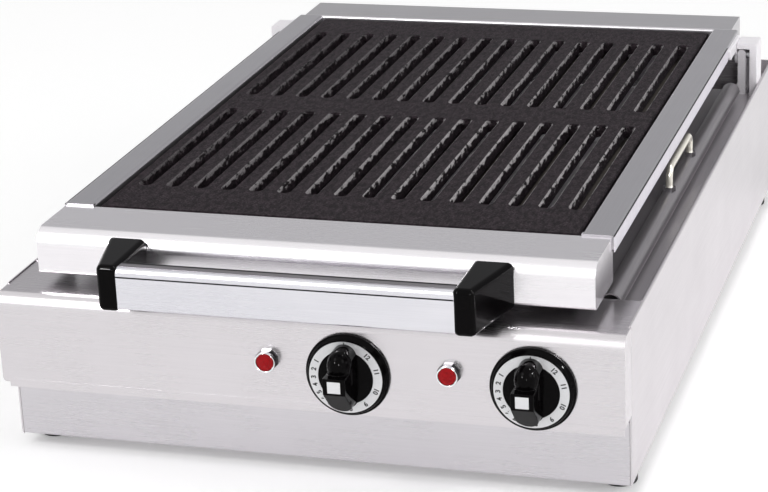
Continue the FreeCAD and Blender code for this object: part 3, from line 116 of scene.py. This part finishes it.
# The photograph's camera: its lens on a 36 mm sensor, its place in metres and its angles in degrees
LENS = 114.977
EYE = (0.582258, -1.979679, 0.818034)
AZIMUTH, ELEVATION, ROLL = 17.55633, 20.01389, -2.58779

# Lamps: place and size in metres, power in watts. The gloss lamps give no diffuse light
PLAIN_LAMPS = {
    "key": ((-1.6, -2.2, 2.8), 1.6, 24),
    "fill": ((2.6, -1.2, 1.9), 1.4, 12),
    "low_right": ((2.4, 0.2, 0.8), 0.8, 5),
}
GLOSS_PLACES = [(1.4, 0.5, 2.5), (2.4, 0.0, 1.5), (-1.2, -2.5, 1.5), (1.0, -2.9, 1.0)]
GLOSS_SIZE = 0.22
GLOSS_POWER = 36
LAMP_AIM = (0, 0, 0.1)

# The floor and the grey card, in metres
FLOOR_RADIUS = 14
CARD_PLACE = (0, 3.0, 2.3)
CARD_WIDE = 9
CARD_TALL = 3.4


def linear(code):
    """Linear colour of an sRGB hex value."""
    parts = [int(code[i:i + 2], 16) / 255 for i in (1, 3, 5)]
    return [p / 12.92 if p <= 0.04045 else ((p + 0.055) / 1.055) ** 2.4 for p in parts] + [1.0]


def add(tree, kind, inputs=None, **settings):
    """Adds a node, gives it its settings, and sets or links its inputs."""
    made = tree.nodes.new(kind)
    for name, value in settings.items():
        setattr(made, name, value)
    for name, value in (inputs or {}).items():
        if isinstance(value, bpy.types.NodeSocket):
            tree.links.new(value, made.inputs[name])
        else:
            made.inputs[name].default_value = value
    return made


def surface(name, **sockets):
    """A new material with its own Principled shader, whose plain sockets are set here."""
    material = bpy.data.materials.new(name)
    material.use_nodes = True
    tree = material.node_tree
    shader = tree.nodes["Principled BSDF"]
    for socket, value in sockets.items():
        shader.inputs[socket.replace("_", " ")].default_value = value
    return material, tree, shader


def place_on(tree, stretch):
    """Object coordinates in millimetres, divided by the size of the pattern along each axis."""
    where = add(tree, "ShaderNodeTexCoord")
    scale = [1 / (size * MM) for size in stretch]
    return add(tree, "ShaderNodeMapping", {"Vector": where.outputs["Object"], "Scale": scale}).outputs[0]


def noise(tree, stretch, detail, roughness=0.5):
    """Noise from 0 to 1, whose pattern has the given size in millimetres along each axis."""
    where = place_on(tree, stretch)
    made = add(tree, "ShaderNodeTexNoise", {"Vector": where, "Scale": 1.0, "Detail": detail,
                                            "Roughness": roughness})
    return made.outputs["Fac"]


def maths(tree, operation, *values):
    """One step of arithmetic on numbers or sockets."""
    return add(tree, "ShaderNodeMath", dict(enumerate(values)), operation=operation).outputs[0]


def ramp(tree, value, start, end, floor=0.0):
    """Rises from the floor to 1 as the value goes from start to end, which may run downwards."""
    return add(tree, "ShaderNodeMapRange", {"Value": value, "From Min": start, "From Max": end,
                                            "To Min": floor}).outputs[0]


def between(tree, factor, low, high):
    """Moves a 0 to 1 value into the range low to high."""
    return add(tree, "ShaderNodeMapRange", {"Value": factor, "To Min": low, "To Max": high}).outputs[0]


def two_tone(tree, factor, dark, light):
    """Runs from the dark to the light hex colour as the factor goes from 0 to 1."""
    mix = add(tree, "ShaderNodeMix", {0: factor, 6: linear(dark), 7: linear(light)}, data_type="RGBA")
    return mix.outputs[2]


def emboss(tree, shader, height, strength, distance):
    """Bumps the surface by a 0 to 1 height; the distance is in millimetres."""
    relief = add(tree, "ShaderNodeBump", {"Height": height, "Strength": strength, "Distance": distance * MM})
    tree.links.new(relief.outputs[0], shader.inputs["Normal"])


def facing(tree):
    """How far the surface faces along each axis."""
    normal = add(tree, "ShaderNodeNewGeometry").outputs["True Normal"]
    return add(tree, "ShaderNodeSeparateXYZ", {0: normal}).outputs


def seen(tree):
    """1 for the rays by which the camera, metal and glass see the backdrop, 0 for the light on things."""
    path = add(tree, "ShaderNodeLightPath").outputs
    both = maths(tree, "MAXIMUM", path["Is Camera Ray"], path["Is Glossy Ray"])
    return maths(tree, "MAXIMUM", both, path["Is Transmission Ray"])


def brushed_sheet(name, dark, light, run, rough=(0.22, 0.3), bump=0.03, metallic=1.0):
    """Stainless sheet with a number 4 finish: fine parallel brush lines along one axis.
    The lines are about 0.1 mm apart on the real sheet and are drawn 0.6 mm apart, so that they show."""
    material, tree, shader = surface(name, Metallic=metallic)
    lines = [0.6, 0.6, 0.6]
    lines["XYZ".index(run)] = 90.0
    brush = noise(tree, lines, 3.0)
    cloud = noise(tree, (70, 70, 70), 2.0)
    half = maths(tree, "MULTIPLY", maths(tree, "ADD", brush, cloud), 0.5)
    tone = ramp(tree, half, 0.3, 0.7)
    tree.links.new(two_tone(tree, tone, dark, light), shader.inputs["Base Color"])
    tree.links.new(between(tree, tone, rough[1], rough[0]), shader.inputs["Roughness"])
    emboss(tree, shader, brush, bump, 0.2)
    return material


def cast_iron(name):
    """Grey cast iron, sand cast and seasoned: dark, grainy tops. The upper parts of the slot walls get
    painted light, a lighter, ragged tone as if lit, most of all at the front and on the right."""
    material, tree, shader = surface(name, Metallic=0.0, IOR=1.2, Specular_IOR_Level=0.3)
    grit = noise(tree, (1.6, 1.6, 1.6), 6.0, 0.65)
    patch = noise(tree, (4, 9, 4), 4.0, 0.6)
    spot = add(tree, "ShaderNodeSeparateXYZ", {0: add(tree, "ShaderNodeTexCoord").outputs["Object"]}).outputs

    # Painted light on the slot walls: walls found by their normal and high in the slots get a lighter tone as
    # if lit; skin is that painted light, and it fades towards the left and the back
    wall = ramp(tree, maths(tree, "ABSOLUTE", facing(tree)["X"]), 0.5, 0.8)
    ragged = maths(tree, "MULTIPLY", patch, RAGGED * MM)
    high = ramp(tree, maths(tree, "ADD", spot["Z"], ragged), LIT_WALL_FROM * MM, LIT_WALL_FULL * MM)
    across = maths(tree, "ABSOLUTE", spot["X"])
    inside = ramp(tree, across, (FIELD_HALF + FIELD_FADE) * MM, FIELD_HALF * MM)
    lit_to_right = ramp(tree, spot["X"], LIT_LEFT * MM, LIT_RIGHT * MM, floor=0.12)
    lit_to_front = ramp(tree, spot["Y"], LIT_BACK * MM, LIT_FRONT * MM, floor=0.55)
    upper = maths(tree, "MULTIPLY", high, inside)
    painted_light_falloff = maths(tree, "MULTIPLY", lit_to_right, lit_to_front)
    skin = maths(tree, "MULTIPLY", wall, maths(tree, "MULTIPLY", upper, painted_light_falloff))

    speck = ramp(tree, grit, 0.35, 0.75)
    blotch = maths(tree, "MULTIPLY", speck, ramp(tree, patch, 0.4, 0.58))
    top = two_tone(tree, blotch, "#140E12", "#483C43")
    lit_wall_tone = two_tone(tree, speck, "#9A9698", "#F0ECED")
    colour = add(tree, "ShaderNodeMix", {0: skin, 6: top, 7: lit_wall_tone}, data_type="RGBA")
    tree.links.new(colour.outputs[2], shader.inputs["Base Color"])
    tree.links.new(between(tree, speck, 0.62, 0.42), shader.inputs["Roughness"])
    emboss(tree, shader, grit, 0.5, 0.6)
    return material


def grained(name, dark, light, grain, rough, metallic=0.0, bump=0.1, **sockets):
    """A plain moulded, plated or painted finish: two near tones and a fine grain in millimetres."""
    material, tree, shader = surface(name, Metallic=metallic, **sockets)
    fine = noise(tree, (grain,) * 3, 3.0)
    tree.links.new(two_tone(tree, fine, dark, light), shader.inputs["Base Color"])
    tree.links.new(between(tree, fine, rough[0], rough[1]), shader.inputs["Roughness"])
    emboss(tree, shader, fine, bump, 0.2)
    return material


def facet_chrome(name):
    """Chrome-plated brass with facets: those that face sideways are coloured dark, as if they mirrored a
    dark room."""
    material, tree, shader = surface(name, Metallic=1.0, Roughness=0.1)
    dark = ramp(tree, maths(tree, "ABSOLUTE", facing(tree)["X"]), 0.45, 0.65)
    tree.links.new(two_tone(tree, dark, "#F0F0F2", "#1A191B"), shader.inputs["Base Color"])
    return material


PANEL_STEEL = brushed_sheet("brushed_304_panel", "#CECACD", "#D6D2D5", "X")
PLINTH_STEEL = brushed_sheet("brushed_304_plinth", "#C6C3C7", "#CFCCD0", "X")
SIDE_STEEL = brushed_sheet("brushed_304_side", "#C9C5C8", "#D2CED1", "Y", rough=(0.3, 0.38))
FASCIA_STEEL = brushed_sheet("brushed_304_fascia", "#E4E1E4", "#EEEBEE", "X")
RAIL_STEEL = brushed_sheet("brushed_430_rail", "#B0AEB2", "#BAB8BC", "Y", rough=(0.28, 0.36))
REAR_STEEL = brushed_sheet("brushed_430_rear", "#B8B6B9", "#C2C0C3", "X", rough=(0.28, 0.36))
# The rail legs' steel is a lighter copy of the rail steel: painted light on the legs' outward faces
LIT_LEG_STEEL = grained("painted_light_rail_leg", "#D8D4DC", "#ECE8F0", 6.0, (0.35, 0.45), metallic=0.4,
                    bump=0.02)
HINGE_STEEL = grained("bead_blasted_304_hinge", "#EAE6EA", "#FAF8FB", 1.0, (0.4, 0.55), metallic=0.2,
                      bump=0.15)
WELL_STEEL = brushed_sheet("rolled_430_well", "#B4B0B4", "#C0BCC0", "Y", rough=(0.3, 0.4), metallic=0.6)
# The pan rims' steel is a darker copy of the well steel: painted shade on the rims
SHADED_RIM_STEEL = brushed_sheet("painted_shade_pan_rim", "#848084", "#908C90", "Y", rough=(0.34, 0.42), metallic=0.6)
PAN_STEEL = brushed_sheet("deep_drawn_304_pan", "#B6B2B6", "#C2BEC2", "Y", rough=(0.3, 0.42), metallic=0.6)
PLATE_IRON = cast_iron("seasoned_cast_iron")
SHEATH = grained("oxidised_incoloy_sheath", "#3A3634", "#5A534E", 1.2, (0.5, 0.7), metallic=0.8, bump=0.2)
CHROME = grained("bright_chrome_plate", "#E4E4E6", "#F2F2F4", 8.0, (0.06, 0.12), metallic=1.0, bump=0.01)
BAIL_WIRE = grained("bright_drawn_wire", "#ECE8DC", "#FAF6EA", 3.0, (0.2, 0.3), metallic=0.5, bump=0.02)
BAR_ALLOY = brushed_sheet("satin_anodised_aluminium", "#D2D1D7", "#E0DFE4", "X", rough=(0.18, 0.3))
# The bar's top strip is painted shade: the level top is coloured darker grey than the bar's face
BAR_TOP_SHADE = brushed_sheet("painted_shade_bar_top", "#8C888C", "#989498", "X", rough=(0.25, 0.35))
# Black strips: the strip in the bar's groove and the rail joints, and the painted shadow line along the bar's
# rear edge
BLACK_STRIP_AND_SHADOW = grained("black_strip_and_painted_shadow", "#060607", "#101012", 1.0, (0.4, 0.5), Specular_IOR_Level=0.2)
BLACK_MOULDING = grained("glossy_black_phenolic", "#050405", "#0C0A0B", 2.5, (0.06, 0.1), bump=0.03, IOR=1.16,
                         Specular_IOR_Level=0.35)
DIAL_FOIL = grained("satin_dial_foil", "#DCDCDE", "#EEEEF0", 1.0, (0.3, 0.4), metallic=0.3, bump=0.02)
DIAL_INK = grained("screen_printed_ink", "#0B0B0C", "#181819", 0.6, (0.5, 0.6))
# The lens: deep red, with lighter red specks in its grain that are painted sparkle, painted highlights of the
# facets
LENS_RED_AND_SPARKLE = grained("red_lens_and_painted_sparkle", "#5A0206", "#D01820", 1.1, (0.06, 0.12), bump=0.3, IOR=1.3,
                   Specular_IOR_Level=0.3)
INSERT_WHITE = grained("plain_abs_insert", "#E6E6E8", "#F0F0F2", 1.0, (0.25, 0.35), bump=0.02)
REGULATOR_BODY = grained("moulded_phenolic_body", "#1C1B1C", "#2C2A2B", 1.0, (0.5, 0.65))
TERMINAL_BODY = grained("moulded_nylon_block", "#D6D0C0", "#E4DECE", 1.0, (0.4, 0.55))
RUBBER = grained("moulded_black_rubber", "#0E0E0F", "#1A1A1B", 0.8, (0.7, 0.85), bump=0.3)
ZINC = grained("bright_zinc_plate", "#A8A9AB", "#C2C3C6", 1.5, (0.25, 0.4), metallic=1.0)
BEZEL_CHROME = facet_chrome("faceted_chrome_bezel")

FINISHES = {
    PANEL_STEEL: ["control_panel", "control_box_wall", "rear_panel"],
    PLINTH_STEEL: ["front_plinth"],
    SIDE_STEEL: ["side_panel_left", "side_panel_right", "base_plate"],
    FASCIA_STEEL: ["frame_fascia"],
    HINGE_STEEL: ["hinge_post_left", "hinge_post_right", "hinge_ears", "hinge_arm_left", "hinge_arm_right"],
    RAIL_STEEL: ["side_rail_left", "side_rail_right"],
    REAR_STEEL: ["rear_rail", "rear_rail_cover", "element_supports", "pan_rest_rails"],
    WELL_STEEL: ["gutter_ledge_left", "gutter_ledge_right"],
    SHADED_RIM_STEEL: ["pan_rim_left", "pan_rim_right"],
    PAN_STEEL: ["water_pan"],
    PLATE_IRON: ["grill_plate"],
    SHEATH: ["heating_element_left", "heating_element_right"],
    BAIL_WIRE: ["pan_handle_left", "pan_handle_right"],
    CHROME: ["pan_handle_nuts", "pilot_bezel_left", "pilot_bezel_right"],
    BAR_ALLOY: ["handle_bar"],
    BLACK_MOULDING: ["handle_bracket_left", "handle_bracket_right", "knob_left", "knob_right"],
    DIAL_FOIL: ["dial_ring_left", "dial_ring_right"],
    LENS_RED_AND_SPARKLE: ["pilot_lens_left", "pilot_lens_right"],
    INSERT_WHITE: ["knob_insert_left", "knob_insert_right"],
    REGULATOR_BODY: ["energy_regulator_left", "energy_regulator_right", "pilot_lampholders", "cable_gland"],
    TERMINAL_BODY: ["terminal_block"],
    RUBBER: ["feet", "frame_rest_pads"],
    ZINC: ["foot_screws", "casing_screws", "handle_screws", "regulator_nuts", "element_terminals",
           "hinge_pins", "regulator_shaft_left", "regulator_shaft_right"],
}
for finish, names in FINISHES.items():
    for name in names:
        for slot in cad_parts[name].material_slots:
            slot.material = finish


def piece(name, mesh, material, body, smooth=30):
    """A finished piece: its place is in its mesh, and it rides on a body."""
    thing = bpy.data.objects.new(name, mesh)
    bpy.context.collection.objects.link(thing)
    mesh.materials.clear()
    mesh.materials.append(material)
    mesh.shade_smooth()
    mesh.set_sharp_from_angle(angle=math.radians(smooth))
    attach(thing, body)
    return thing


def finished(bm, name):
    """The bmesh as a mesh in metres, with doubles merged and faces pointing outwards."""
    bmesh.ops.remove_doubles(bm, verts=bm.verts, dist=0.001)
    bmesh.ops.recalc_face_normals(bm, faces=bm.faces)
    bmesh.ops.scale(bm, vec=(MM, MM, MM), verts=bm.verts)
    mesh = bpy.data.meshes.new(name)
    bm.to_mesh(mesh)
    bm.free()
    return mesh


def turned(profile, x, z, steps, ring=False):
    """A shape turned about a line along Y; the profile gives radius and rise above the panel's face.
    A ring's profile is closed, and any other starts and ends on the axis."""
    bm = bmesh.new()
    points = [bm.verts.new((x + r, PANEL_Y - rise, z)) for r, rise in profile]
    pairs = list(zip(points, points[1:])) + ([(points[-1], points[0])] if ring else [])
    edges = [bm.edges.new(pair) for pair in pairs]
    bmesh.ops.spin(bm, geom=points + edges, cent=(x, 0, z), axis=(0, 1, 0), angle=2 * math.pi, steps=steps,
                   use_merge=True)
    return bm


def knob_skirt(x):
    """The skirt: a chamfered foot, a conical rim, a raised lip round the dial ring and the centre disc."""
    foot = [(0, 0.6), (32.6, 0.6), (33.0, 1.0), (33.0, 2.2), (32.7, 2.6), (31.7, 3.0), (31.4, 3.5)]
    rim = [(30.1, 6.6), (29.6, 7.0), (29.0, 6.9), (28.95, 6.6)]
    disc = [(21.55, 6.6), (21.5, 6.9), (21.1, 7.1), (0, 7.2)]
    return turned(foot + rim + disc, x, KNOB_Z, 96)


def bezel(x):
    """The pilot light's bezel: an eight-sided foot and a round lip that holds the lens."""
    sides = 8
    foot_profile = [(7.1, 0.0), (9.1, 0.0), (8.9, 5.0), (8.2, 6.4), (7.1, 6.4)]
    foot = turned(foot_profile, x, PILOT_Z, sides, ring=True)
    half_side = Matrix.Rotation(math.pi / sides, 3, "Y")
    bmesh.ops.rotate(foot, cent=(x, 0, PILOT_Z), matrix=half_side, verts=foot.verts)
    lip_profile = [(7.0, 5.0), (8.1, 5.0), (8.3, 7.2), (8.1, 7.9), (7.7, 8.1), (7.2, 7.8)]
    return joined(foot, turned(lip_profile, x, PILOT_Z, 48, ring=True))


def lens(x):
    """The lens: a low crown of flat facets."""
    crown = [(0, 8.9), (2.2, 8.8), (4.4, 8.4), (6.0, 7.9), (7.05, 7.3)]
    return turned(crown + [(7.05, 1.0), (0, 1.0)], x, PILOT_Z, 14)


def block(spans, centre, edge=0.0):
    """A box, with its edges broken where an edge is given."""
    bm = bmesh.new()
    made = bmesh.ops.create_cube(bm, size=1.0)["verts"]
    bmesh.ops.scale(bm, vec=spans, verts=made)
    bmesh.ops.translate(bm, vec=centre, verts=made)
    if edge:
        bmesh.ops.bevel(bm, geom=bm.edges[:], offset=edge, affect="EDGES", segments=2, profile=0.5,
                        material=-1)
    return bm


def upright(bm, kind, spans, centre, **settings):
    """A block, a round post or a dome that stands on the knob's skirt, scaled to its spans."""
    made = kind(bm, **settings)["verts"]
    bmesh.ops.rotate(bm, cent=(0, 0, 0), matrix=Matrix.Rotation(math.radians(90), 3, "X"), verts=made)
    bmesh.ops.scale(bm, vec=spans, verts=made)
    bmesh.ops.translate(bm, vec=centre, verts=made)


def post(bm, radius, tall, centre):
    """A round post that stands on the knob's skirt."""
    upright(bm, bmesh.ops.create_cone, (radius, tall, radius), centre, cap_ends=True, segments=72,
            radius1=1.0, radius2=1.0, depth=1.0)


def knob_tail(x, round_end):
    """Half of the tail: the square seat or the round end, cut off along the slope below the seat."""
    bm = bmesh.new()
    middle = GRIP_TAIL - TAIL_RADIUS
    rise = SEAT_RISE + GRIP_SINK
    depth = SKIRT_Y + GRIP_SINK - rise / 2
    if round_end:
        post(bm, TAIL_RADIUS, rise, (x, depth, KNOB_Z - middle))
    else:
        tall = SEAT_TOP + middle
        centre = (x, depth, KNOB_Z + SEAT_TOP - tall / 2)
        upright(bm, bmesh.ops.create_cube, (2 * TAIL_RADIUS, rise, tall), centre, size=1.0)
    toe = Vector((x, SKIRT_Y - TOE_RISE, KNOB_Z - GRIP_TAIL))
    seat = Vector((x, SKIRT_Y - SEAT_RISE, KNOB_Z - SEAT_DROP))
    outwards = Vector((0, toe.z - seat.z, seat.y - toe.y))
    cut = bmesh.ops.bisect_plane(bm, geom=bm.verts[:] + bm.edges[:] + bm.faces[:], plane_co=seat,
                                 plane_no=outwards, clear_outer=True)["geom_cut"]
    bmesh.ops.edgeloop_fill(bm, edges=[part for part in cut if isinstance(part, bmesh.types.BMEdge)])
    return bm


def knob_lobe(x):
    """The bulbous lobe above the seat: a round post, a block down to the knob's middle and a domed front."""
    bm = bmesh.new()
    depth = SKIRT_Y + GRIP_SINK - LOBE_TALL / 2
    post(bm, LOBE_RADIUS, LOBE_TALL, (x, depth, KNOB_Z + LOBE_MIDDLE))
    upright(bm, bmesh.ops.create_cube, (2 * LOBE_RADIUS, LOBE_TALL, LOBE_MIDDLE),
            (x, depth, KNOB_Z + LOBE_MIDDLE / 2), size=1.0)
    upright(bm, bmesh.ops.create_uvsphere, (LOBE_RADIUS, DOME_DEEP, DOME_TALL),
            (x, SKIRT_Y - DOME_RISE, KNOB_Z + DOME_MIDDLE), u_segments=72, v_segments=48, radius=1.0)
    return bm


def settled(thing):
    """The object's mesh with its modifiers applied, or its curves filled."""
    graph = bpy.context.evaluated_depsgraph_get()
    return bpy.data.meshes.new_from_object(thing.evaluated_get(graph))


def remeshed(bm, name, voxel, rounds):
    """One closed skin over the shapes in the bmesh, softened where they meet."""
    mesh = finished(bm, name + "_rough")
    thing = bpy.data.objects.new(name + "_rough", mesh)
    bpy.context.collection.objects.link(thing)
    skin = thing.modifiers.new("skin", "REMESH")
    skin.mode = "VOXEL"
    skin.voxel_size = voxel * MM
    soften = thing.modifiers.new("soften", "SMOOTH")
    soften.iterations = rounds
    ready = settled(thing)
    bpy.data.objects.remove(thing)
    return ready


def joined(*parts):
    """Several bmeshes as one."""
    whole = bmesh.new()
    for part in parts:
        mesh = bpy.data.meshes.new("part")
        part.to_mesh(mesh)
        part.free()
        whole.from_mesh(mesh)
        bpy.data.meshes.remove(mesh)
    return whole


# The numbers on the dial, with their places in degrees from the off position, anticlockwise
NUMBERS = {1: 62, 2: 78, 3: 93, 4: 107, 5: 122, 6: 134, 7: 150, 8: 187, 9: 216, 10: 248, 11: 285, 12: 316}


def dial_marks(x, name):
    """Screen-printed numbers, their tops pointing outwards, and the tick at the off position."""
    bm = bmesh.new()
    for number, angle in NUMBERS.items():
        words = bpy.data.curves.new("numeral", "FONT")
        words.body = str(number)
        words.size = NUMERAL_SIZE
        words.offset = NUMERAL_SPREAD
        words.align_x = "CENTER"
        words.align_y = "CENTER"
        words.extrude = PRINT_THICK / 2
        thing = bpy.data.objects.new("numeral", words)
        bpy.context.collection.objects.link(thing)
        mesh = settled(thing)
        turn = math.radians(angle)
        right = Vector((math.cos(turn), 0, math.sin(turn)))
        up = Vector((-math.sin(turn), 0, math.cos(turn)))
        axes = Matrix((right, up, (0, -1, 0))).transposed().to_4x4()
        place = Matrix.Translation((x, RING_Y - PRINT_THICK / 2, KNOB_Z)) @ axes
        mesh.transform(place @ Matrix.Translation((0, NUMERAL_RADIUS, 0)))
        bm.from_mesh(mesh)
        bpy.data.objects.remove(thing)
    made = bmesh.ops.create_cube(bm, size=1.0)["verts"]
    bmesh.ops.scale(bm, vec=(TICK_WIDE, PRINT_THICK, TICK_LONG), verts=made)
    bmesh.ops.translate(bm, vec=(x, RING_Y - PRINT_THICK / 2, KNOB_Z + TICK_RADIUS), verts=made)
    return finished(bm, name)


for hand, x in KNOB_X.items():
    body = hand + "_knob"
    skirt_mesh = finished(knob_skirt(x), "knob_skirt_" + hand)
    skirt = piece("knob_skirt_" + hand, skirt_mesh, BLACK_MOULDING, body)
    shapes = joined(knob_tail(x, False), knob_tail(x, True), knob_lobe(x))
    grip_mesh = remeshed(shapes, "knob_grip_" + hand, GRIP_VOXEL, GRIP_ROUNDS)
    grip = piece("knob_grip_" + hand, grip_mesh, BLACK_MOULDING, body, smooth=60)
    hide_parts("knob_" + hand)
    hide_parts("knob_" + hand)
    piece("dial_marks_" + hand, dial_marks(x, "dial_marks_" + hand), DIAL_INK, body)
    insert_middle = (x, SKIRT_Y - SEAT_RISE - INSERT_PROUD + INSERT_THICK / 2, KNOB_Z + INSERT_MIDDLE)
    plain = block((INSERT_WIDE, INSERT_THICK, INSERT_TALL), insert_middle, INSERT_EDGE)
    insert_mesh = finished(plain, "insert_plate_" + hand)
    insert = piece("insert_plate_" + hand, insert_mesh, INSERT_WHITE, body)
    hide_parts("knob_insert_" + hand)

# The panel's lower edge stands 2.8 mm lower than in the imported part, to follow the photograph
hem_middle = ((HEM_LEFT + HEM_RIGHT) / 2, PANEL_Y - HEM_PROUD + HEM_THICK / 2, HEM_LOW + HEM_TALL / 2)
hem = block((HEM_RIGHT - HEM_LEFT, HEM_THICK, HEM_TALL), hem_middle)
piece("panel_hem", finished(hem, "panel_hem"), PANEL_STEEL, "base")

for hand, x in PILOT_X.items():
    rim_mesh = finished(bezel(x), "bezel_ring_" + hand)
    rim = piece("bezel_ring_" + hand, rim_mesh, BEZEL_CHROME, "base")
    crown_mesh = finished(lens(x), "lens_crown_" + hand)
    crown = piece("lens_crown_" + hand, crown_mesh, LENS_RED_AND_SPARKLE, "base", smooth=1)
    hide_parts("pilot_bezel_" + hand)
    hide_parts("pilot_lens_" + hand)

# Strips on the bar: a black strip in the groove, a darker grey top strip that is painted shade on the bar's
# level top, and a black line along the rear edge that is a painted shadow
BAR_STRIPS = {
    "bar_groove_strip": (BLACK_STRIP_AND_SHADOW, (BAR_LONG, 1.0, 1.15), (0, BAR_FACE + 0.45, BAR_TOP - GROOVE_DROP)),
    "bar_top_strip": (BAR_TOP_SHADE, (BAR_LONG, 7.0, 0.5), (0, BAR_FACE + 8.4, BAR_TOP - 0.1)),
    "bar_rear_shadow_line": (BLACK_STRIP_AND_SHADOW, (BAR_LONG, 1.6, 1.0), (0, BAR_FACE + 12.7, BAR_TOP - 0.1)),
}
for name, (finish, spans, centre) in BAR_STRIPS.items():
    piece(name, finished(block(spans, centre), name), finish, "grill_frame")

# The side rails' outer legs: a lighter strip that is painted light on their outward faces, and the dark joint
# between the leg and the rail's top
for hand, side in (("left", -1), ("right", 1)):
    name = "rail_leg_" + hand
    strip = block((0.5, LEG_LONG, 12.0), (side * (RAIL_HALF + 0.05), LEG_MIDDLE, RAIL_TOP - 7.6))
    piece(name, finished(strip, name), LIT_LEG_STEEL, "grill_frame")
    name = "rail_joint_" + hand
    line = block((0.6, LEG_LONG, 0.8), (side * (RAIL_HALF - 0.2), LEG_MIDDLE, RAIL_TOP - 1.1))
    piece(name, finished(line, name), BLACK_STRIP_AND_SHADOW, "grill_frame")


def add_lamp(name, place, size, power):
    """A round lamp that points at the object."""
    data = bpy.data.lights.new(name, "AREA")
    data.shape = "DISK"
    data.size = size
    data.energy = power
    lamp = bpy.data.objects.new(name, data)
    bpy.context.collection.objects.link(lamp)
    lamp.location = place
    lamp.rotation_euler = (Vector(LAMP_AIM) - Vector(place)).to_track_quat("-Z", "Y").to_euler()
    return lamp


def studio():
    """White floor and backdrop, a soft key from the front left, two fills and small lamps that only gloss
    shows. A grey card behind the object, which only the metal reflects, keeps the level steel tops darker
    than the upright faces in the photograph's view."""
    world = bpy.data.worlds.new("studio")
    bpy.context.scene.world = world
    world.use_nodes = True
    tree = world.node_tree
    backdrop = seen(tree)
    tree.links.new(between(tree, backdrop, 0.7, 1.0), tree.nodes["Background"].inputs["Strength"])
    tree.nodes["Background"].inputs["Color"].default_value = (1, 1, 1, 1)

    bpy.ops.mesh.primitive_circle_add(vertices=64, radius=FLOOR_RADIUS, fill_type="NGON")
    floor = bpy.context.object
    floor.name = "floor"
    white, tree, shader = surface("matt_white_floor", Roughness=1.0, Specular_IOR_Level=0.0,
                                  Base_Color=linear("#FAFAFA"), Emission_Color=(1, 1, 1, 1))
    tree.links.new(between(tree, seen(tree), 0.0, 0.2), shader.inputs["Emission Strength"])
    floor.data.materials.append(white)

    bpy.ops.mesh.primitive_plane_add(size=1)
    card = bpy.context.object
    card.name = "grey_card"
    card.data.transform(Matrix.Translation(CARD_PLACE) @ Matrix.Rotation(math.radians(90), 4, "X")
                        @ Matrix.Diagonal((CARD_WIDE, CARD_TALL, 1, 1)))
    grey, tree = surface("grey_card")[:2]
    glow = add(tree, "ShaderNodeEmission", {"Color": linear("#BCBCBE"), "Strength": 1.0})
    tree.links.new(glow.outputs[0], tree.nodes["Material Output"].inputs["Surface"])
    card.data.materials.append(grey)
    card.visible_camera = False
    card.visible_diffuse = False
    card.visible_shadow = False
    card.visible_transmission = False

    for name, (place, size, power) in PLAIN_LAMPS.items():
        add_lamp(name, place, size, power)
    for number, place in enumerate(GLOSS_PLACES):
        add_lamp("gloss_" + str(number), place, GLOSS_SIZE, GLOSS_POWER).visible_diffuse = False


def camera():
    """The photograph's view: from above and to the right, with a long lens."""
    data = bpy.data.cameras.new("camera")
    data.sensor_width = 36.0
    data.lens = LENS
    data.clip_end = 60
    azimuth, elevation, roll = (math.radians(angle) for angle in (AZIMUTH, ELEVATION, ROLL))
    forward = Vector((-math.sin(azimuth) * math.cos(elevation), math.cos(azimuth) * math.cos(elevation),
                      -math.sin(elevation)))
    right = Vector((math.cos(azimuth), math.sin(azimuth), 0))
    up = right.cross(forward)
    across = right * math.cos(roll) + up * math.sin(roll)
    over = up * math.cos(roll) - right * math.sin(roll)
    eye = bpy.data.objects.new("camera", data)
    bpy.context.collection.objects.link(eye)
    axes = Matrix((across, over, -forward)).transposed().to_4x4()
    eye.matrix_world = Matrix.Translation(EYE) @ axes
    bpy.context.scene.camera = eye


studio()
camera()
bpy.context.scene.view_settings.view_transform = "Standard"
